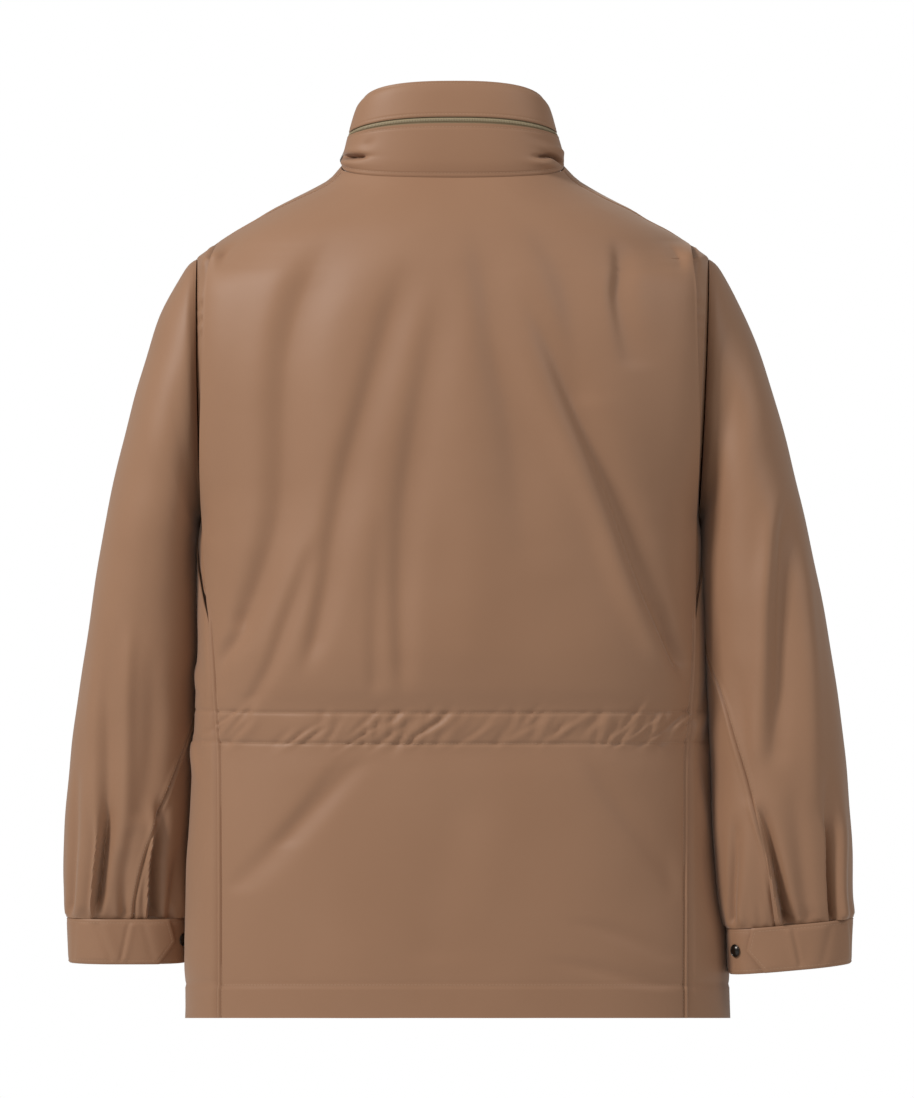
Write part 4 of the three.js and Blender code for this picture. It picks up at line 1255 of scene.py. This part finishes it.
def collar_relief(degrees, h):
    total = 0.35 * np.sin(degrees / 13 + h / 17) * np.sin(h / 21 + degrees / 47)
    for angle, at_h, depth, across, along, slope in zip(*COLLAR_CREASES.values()):
        da = degrees - angle
        total = total - depth * np.exp(-((da / along) ** 2) - ((h - at_h - slope * da) / across) ** 2)
    return total


def collar_band(name, low, high, reach, grid_size, cloth_wall, finish=cloth, sink=None, edge_rows=()):
    """A band from low(degrees) to high, as far round as reach. A sink says how deep a plain one lies."""

    def grid(u, v):
        degrees = reach * (2 * u - 1)
        bottom = low(degrees)
        return degrees, bottom + (high - bottom) * v

    def place(u, v):
        degrees, h = grid(u, v)
        return collar_point(np.radians(degrees), h)

    def relief(u, v, points):
        degrees, h = grid(u, v)
        if sink:
            return -sink(h)
        calm = ramp(h, 0.5, 4.5) * ramp(h, COLLAR["zipFrom"], COLLAR["zipFrom"] - 6)
        calm = np.where(h > COLLAR["zipTo"] - 1, 0.5 * ramp(h, COLLAR["zipTo"], COLLAR["zipTo"] + 5), calm)
        total = collar_relief(degrees, h) * calm
        for row in edge_rows:
            total = total - 0.4 * bump(h - row, 0.8)
        return total - 1.0 * (1 - ramp(h, low(degrees), low(degrees) + 1.2)) * (h > COLLAR["zipFrom"])

    panel(name, place, relief, *grid_size, 530, 40, cloth_wall, finish)


COLLAR_TUCK = -2.4  # the stand's lower edge, sewn inside the neck
STAND_TOP = 39.0
BAND_WALL = 2.0
ZIP_ROWS = (36.6, 48.4)
NECK_ROW = 3.0
TOP_ROW = 77.6


def stand_low(degrees):
    return np.full_like(degrees, COLLAR_TUCK)


def top_band_low(degrees):
    """The upper band starts above the zip, and past the zip's ends just above the stand."""
    past_zip = ramp(np.abs(degrees), COLLAR["zipEnd"], COLLAR["zipEnd"] + 5)
    return COLLAR["zipTo"] + 0.6 - 5.9 * past_zip


stand_rows, top_rows = (NECK_ROW, ZIP_ROWS[0]), (ZIP_ROWS[1], TOP_ROW)
collar_band(
    "collar_stand_cloth", stand_low, STAND_TOP, COLLAR_END, (290, 46), BAND_WALL, edge_rows=stand_rows
)
collar_band(
    "collar_top_cloth", top_band_low, COLLAR["top"], COLLAR_END, (290, 34), BAND_WALL, edge_rows=top_rows
)

# %% [markdown]
# ## Hood zip
# The tape is a plain woven strip, set back between the bands. The closed teeth are one row of small
# moulded bars: one is modelled, and its copies are turned to follow the tape.

# %% Tape


def tape_sink(h):
    """The tape lies behind both bands and swells forward between them."""
    return 2.5 - 1.3 * bump(h - 42.3, 2.2)


def tape_low(degrees):
    return np.full_like(degrees, ZIP_ROWS[0])


tape_reach = COLLAR["zipEnd"] + 1
collar_band(
    "collar_zip_tape", tape_low, ZIP_ROWS[1], tape_reach, (220, 16), 0.9, tape_material, sink=tape_sink
)

# %% One small bar, and its copies along a line


def new_object(name, points, faces, finish):
    mesh = bpy.data.meshes.new(name)
    mesh.from_pydata((points * MM).tolist(), [], faces)
    obj = bpy.data.objects.new(name, mesh)
    bpy.context.collection.objects.link(obj)
    obj.data.materials.append(finish)
    return obj


def along_line(name, centres, along, outwards, shape, finish):
    """Copies of a small shape, given as points and faces, at places along a line."""
    along = along / np.linalg.norm(along, axis=1)[:, None]
    third = np.cross(outwards, along)
    third /= np.linalg.norm(third, axis=1)[:, None]
    outwards = np.cross(along, third)
    points, faces = shape
    placed = (
        centres[:, None, :]
        + along[:, None, :] * points[None, :, 0:1]
        + third[:, None, :] * points[None, :, 1:2]
        + outwards[:, None, :] * points[None, :, 2:3]
    )
    count = len(points)
    all_faces = [tuple(i * count + corner for corner in face) for i in range(len(centres)) for face in faces]
    print(name, len(centres), "copies")
    return new_object(name, placed.reshape(-1, 3), all_faces, finish)


def small_bar(length, width, height, lift=0.0, taper=0.6):
    """The upper half of a bar with narrower, lower ends, read back as points and faces."""
    deselect()
    bpy.ops.mesh.primitive_cube_add(size=1)
    bar = bpy.context.object
    bpy.ops.object.mode_set(mode="EDIT")
    bpy.ops.mesh.subdivide(number_cuts=1)
    bpy.ops.object.mode_set(mode="OBJECT")
    points = np.array([vertex.co[:] for vertex in bar.data.vertices])
    end = np.abs(points[:, 0]) > 0.4
    points[end, 1:] *= taper
    round_ = np.maximum(np.linalg.norm(points[:, 1:], axis=1), 1e-6)
    points[:, 1:] *= (0.5 / np.maximum(round_, 0.5))[:, None]
    points *= (length, width, height)
    level = points[:, 2] / height
    faces = [tuple(face.vertices) for face in bar.data.polygons if level[list(face.vertices)].max() > 0.1]
    bpy.data.objects.remove(bar)
    points[:, 2] += lift
    return points, faces


def walk(place, pitch):
    """Evenly spaced places on a line place(t), with its direction."""
    t = np.linspace(0, 1, 2000)
    line = place(t)
    steps = np.linalg.norm(np.diff(line, axis=0), axis=1)
    run = np.concatenate([[0], np.cumsum(steps)])
    count = max(int(run[-1] / pitch), 1)
    at = (np.arange(count) + 0.5) * run[-1] / count
    t_at = np.interp(at, run, t)
    step = 0.3 / run[-1]
    return t_at, place(t_at), place(np.minimum(t_at + step, 1)) - place(np.maximum(t_at - step, 0))


# %% Zip teeth
ZIP_MIDDLE = 42.0


def tape_line(t):
    degrees = COLLAR["zipEnd"] * (2 * t - 1)
    return collar_point(np.radians(degrees), ZIP_MIDDLE + 0 * t)


def outward_of_collar(t, h):
    degrees = np.radians(COLLAR["zipEnd"] * (2 * t - 1))
    across = collar_point(degrees + 1e-3, h + 0 * t) - collar_point(degrees - 1e-3, h + 0 * t)
    upward = collar_point(degrees, h + 0.1 + 0 * t) - collar_point(degrees, h - 0.1 + 0 * t)
    normal = np.cross(across, upward)
    return normal / np.linalg.norm(normal, axis=1)[:, None]


TOOTH = small_bar(0.9, 2.9, 0.7)
TOOTH_PITCH = 1.5
TOOTH_SINK = 0.85
t_at, centres, along = walk(tape_line, TOOTH_PITCH)
outwards = outward_of_collar(t_at, ZIP_MIDDLE)
sunk = centres - TOOTH_SINK * outwards
teeth = along_line("collar_zip_teeth", sunk, along, outwards, TOOTH, teeth_material)

# %% [markdown]
# ## Snaps
# A snap is a domed cap with a rolled rim. Its profile is drawn once and spun round.

# %% Snaps
SNAP_DROP = 20.0
SNAP_LIFT = 0.3
SNAP_TURNS = 48
SNAP_PROFILE = table(
    "r h",
    (5.0, 0.0),
    (5.8, 0.25),
    (5.95, 0.75),
    (5.7, 1.15),
    (5.25, 1.25),
    (4.95, 1.0),
    (4.75, 1.05),
    (4.3, 1.5),
    (3.5, 2.0),
    (2.4, 2.4),
    (1.2, 2.58),
    (0.0, 2.62),
)


def snap(side):
    angle = np.array([math.radians(CUFF_ENDS[HAND[side]]["snap"])])
    down = np.array([SNAP_DROP / CUFF["height"]])
    across = cuff_point(side, angle - side * 1e-3, down) - cuff_point(side, angle + side * 1e-3, down)
    upward = cuff_point(side, angle, down - 1e-3) - cuff_point(side, angle, down + 1e-3)
    across = (across / np.linalg.norm(across))[0]
    out = np.cross(across, upward[0])
    out /= np.linalg.norm(out)
    upward = np.cross(out, across)
    centre = cuff_point(side, angle, down)[0] + out * SNAP_LIFT
    ring = np.linspace(0, 2 * np.pi, SNAP_TURNS, endpoint=False)
    points, faces = [], []
    for r, h in zip(SNAP_PROFILE["r"], SNAP_PROFILE["h"]):
        r = max(r, 0.02)
        circle = np.outer(np.cos(ring) * r, across) + np.outer(np.sin(ring) * r, upward)
        points.append(centre + circle + out * h)
    last = (len(points) - 1) * SNAP_TURNS
    for start in range(0, last, SNAP_TURNS):
        for k in range(SNAP_TURNS):
            i, n = start + k, start + (k + 1) % SNAP_TURNS
            faces.append((i, n, n + SNAP_TURNS, i + SNAP_TURNS))
    faces.append(tuple(range(SNAP_TURNS))[::-1])
    faces.append(tuple(range(last, last + SNAP_TURNS)))
    obj = new_object("snap_cap_" + SIDE_NAME[side], np.concatenate(points), faces, gunmetal)
    smooth(obj, 50)
    return obj


snaps = [snap(-1), snap(1)]

# %% [markdown]
# ## Stitches
# Each stitch is a short thread bar that dips into the cloth at both ends. Rows of them follow the
# same surfaces as the panels: the casing, the hem, the fly, the shoulder, side and elbow seams, the
# collar and the cuffs.

# %% Lines of stitch rows
STITCH = small_bar(2.3, 0.7, 0.5, lift=0.06, taper=0.5)
STITCH_PITCH = 3.2


def stitch_row(name, on, line):
    """Stitches on a panel's surface along line(t), which gives its u and v."""

    def lifted(t):
        return outer_face(*surfaces[on], *line(t))

    t_at, centres, along = walk(lambda t: lifted(t)[0], STITCH_PITCH)
    return along_line(name, centres, along, lifted(t_at)[1], STITCH, thread_material)


def level_line(z, u_from=0.012, u_to=0.988):
    v = share_of(z)
    return lambda t: (u_from + (u_to - u_from) * t, np.full_like(t, v))


def seam_line(side, inward, z_from, z_to):
    """A line at a distance inside the back panel's edge."""
    v_from, v_to = share_of(z_from), share_of(z_to)

    def line(t):
        v = v_from + (v_to - v_from) * t
        z = height_at(v)
        edge = back_edge(z, side)
        moved = along_ring(edge, z, side, -inward)
        left = -back_edge(z, -1)
        return (side * moved - left) / (back_edge(z, 1) - left), v

    return line


def collar_line(low, high, h, reach):
    """A line round a band of the collar at one height."""

    def line(t):
        degrees = reach * (2 * t - 1)
        bottom = low(degrees)
        return (degrees / COLLAR_END + 1) / 2, (h - bottom) / (high - bottom)

    return line


def stand_line(h, reach):
    return collar_line(stand_low, STAND_TOP, h, reach)


def top_line(h, reach):
    return collar_line(top_band_low, COLLAR["top"], h, reach)


def fly_line(u):
    return lambda t: (0 * t + u, 0.01 + 0.98 * t)


def cuff_line(v):
    return lambda t: (0.015 + 0.97 * t, 0 * t + v)


def elbow_line(side, inward, share_from, share_to):
    """A line on the upper sleeve beside its back seam."""

    def line(t):
        share = share_from + (share_to - share_from) * t
        start = np.degrees(elbow_angle(side, share))
        across = inward / (start + 360 - INNER_SLEEVE_SEAM)
        return (1 - across if side < 0 else across), (1 - share) / (1 - SLEEVE_START)

    return line


def cuff_end_line(side):
    """A line inside the cuff's pointed end."""

    def line(t):
        v = 0.09 + 0.82 * t
        last = cuff_grid(side, np.full_like(v, 0.5), v)[1]
        share = 3.6 / (last - CUFF["underEnd"])
        return (1 - share if side < 0 else share), v

    return line


# %% Stitch rows
ROUND_COLLAR = 162
ALONG_ZIP = 120
stitches = [
    stitch_row("stitch_back_casing_top", "back_cloth", level_line(CASING_TOP_Z)),
    stitch_row("stitch_back_casing_bottom", "back_cloth", level_line(CASING_BOTTOM_Z)),
    stitch_row("stitch_back_hem", "back_cloth", level_line(HEM_STITCH_Z)),
    stitch_row("stitch_neck", "collar_stand_cloth", stand_line(NECK_ROW, ROUND_COLLAR)),
    stitch_row("stitch_zip_low", "collar_stand_cloth", stand_line(ZIP_ROWS[0], ALONG_ZIP)),
    stitch_row("stitch_zip_high", "collar_top_cloth", top_line(ZIP_ROWS[1], ALONG_ZIP)),
    stitch_row("stitch_collar_top", "collar_top_cloth", top_line(TOP_ROW, ROUND_COLLAR)),
    stitch_row("stitch_fly_left", "fly_cloth", fly_line(0.907)),
    stitch_row("stitch_fly_right", "fly_cloth", fly_line(0.093)),
]
for side, name in SIDE_NAME.items():
    on_front = (0.1, 0.988) if side < 0 else (0.012, 0.9)
    front_cloth, cuff_cloth = "front_cloth_" + name, "cuff_cloth_" + name
    for row, on, line in (
        ("side", "back_cloth", seam_line(side, SEAM_ROW, -425, -785)),
        ("shoulder", "back_cloth", seam_line(side, 4.6, PLEAT_TOP_Z + 4, 3)),
        ("front_casing_top", front_cloth, level_line(CASING_TOP_Z, *on_front)),
        ("front_casing_bottom", front_cloth, level_line(CASING_BOTTOM_Z, *on_front)),
        ("front_hem", front_cloth, level_line(HEM_STITCH_Z, *on_front)),
        ("elbow", "sleeve_upper_cloth_" + name, elbow_line(side, 2.6, 0.5, 0.993)),
        ("cuff_top", cuff_cloth, cuff_line(0.92)),
        ("cuff_low", cuff_cloth, cuff_line(0.08)),
        ("cuff_end", cuff_cloth, cuff_end_line(side)),
    ):
        stitches.append(stitch_row(f"stitch_{row}_{name}", on, line))

# %% [markdown]
# ## What each piece stands for
# Every cloth shell replaces its plain solid and rides on the jacket's body. A table keeps the size
# that each one was cut to.

# %% Attach and finish
JACKET = "jacket"
# Piece, solid, and width and length of the cut in metres. A star stands for left and right
CUTS = (
    ("back_cloth", "back", 0.53, 0.81),
    ("pleat_cloth_*", "back_pleat_*", 0.075, 0.37),
    ("front_cloth_*", "front_*", 0.43, 0.83),
    ("fly_cloth", "front_placket", 0.056, 0.91),
    ("sleeve_upper_cloth_*", "sleeve_upper_*", 0.35, 0.66),
    ("sleeve_under_cloth_*", "sleeve_under_*", 0.16, 0.46),
    ("cuff_cloth_*", "cuff_*", 0.39, 0.044),
    ("collar_stand_cloth", "collar_stand", 0.54, 0.046),
    ("collar_top_cloth", "collar_top", 0.52, 0.042),
    ("collar_zip_tape", "collar_zip", 0.33, 0.012),
)
for cut_name, cut_solid, *flat in CUTS:
    for side_name in SIDE_NAME.values() if "*" in cut_name else ("",):
        piece_name, solid = cut_name.replace("*", side_name), cut_solid.replace("*", side_name)
        piece = bpy.data.objects[piece_name]
        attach(piece, JACKET)
        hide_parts(solid)
for piece in stitches:
    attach(piece, JACKET)
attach(teeth, JACKET)
for piece, solid in zip(snaps, ("cuff_snap_left", "cuff_snap_right")):
    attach(piece, JACKET)
    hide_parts(solid)
for solid in ("zip_slider", "zip_pull"):
    metal = bpy.data.objects[solid]
    metal.data.materials.clear()
    metal.data.materials.append(zip_metal)
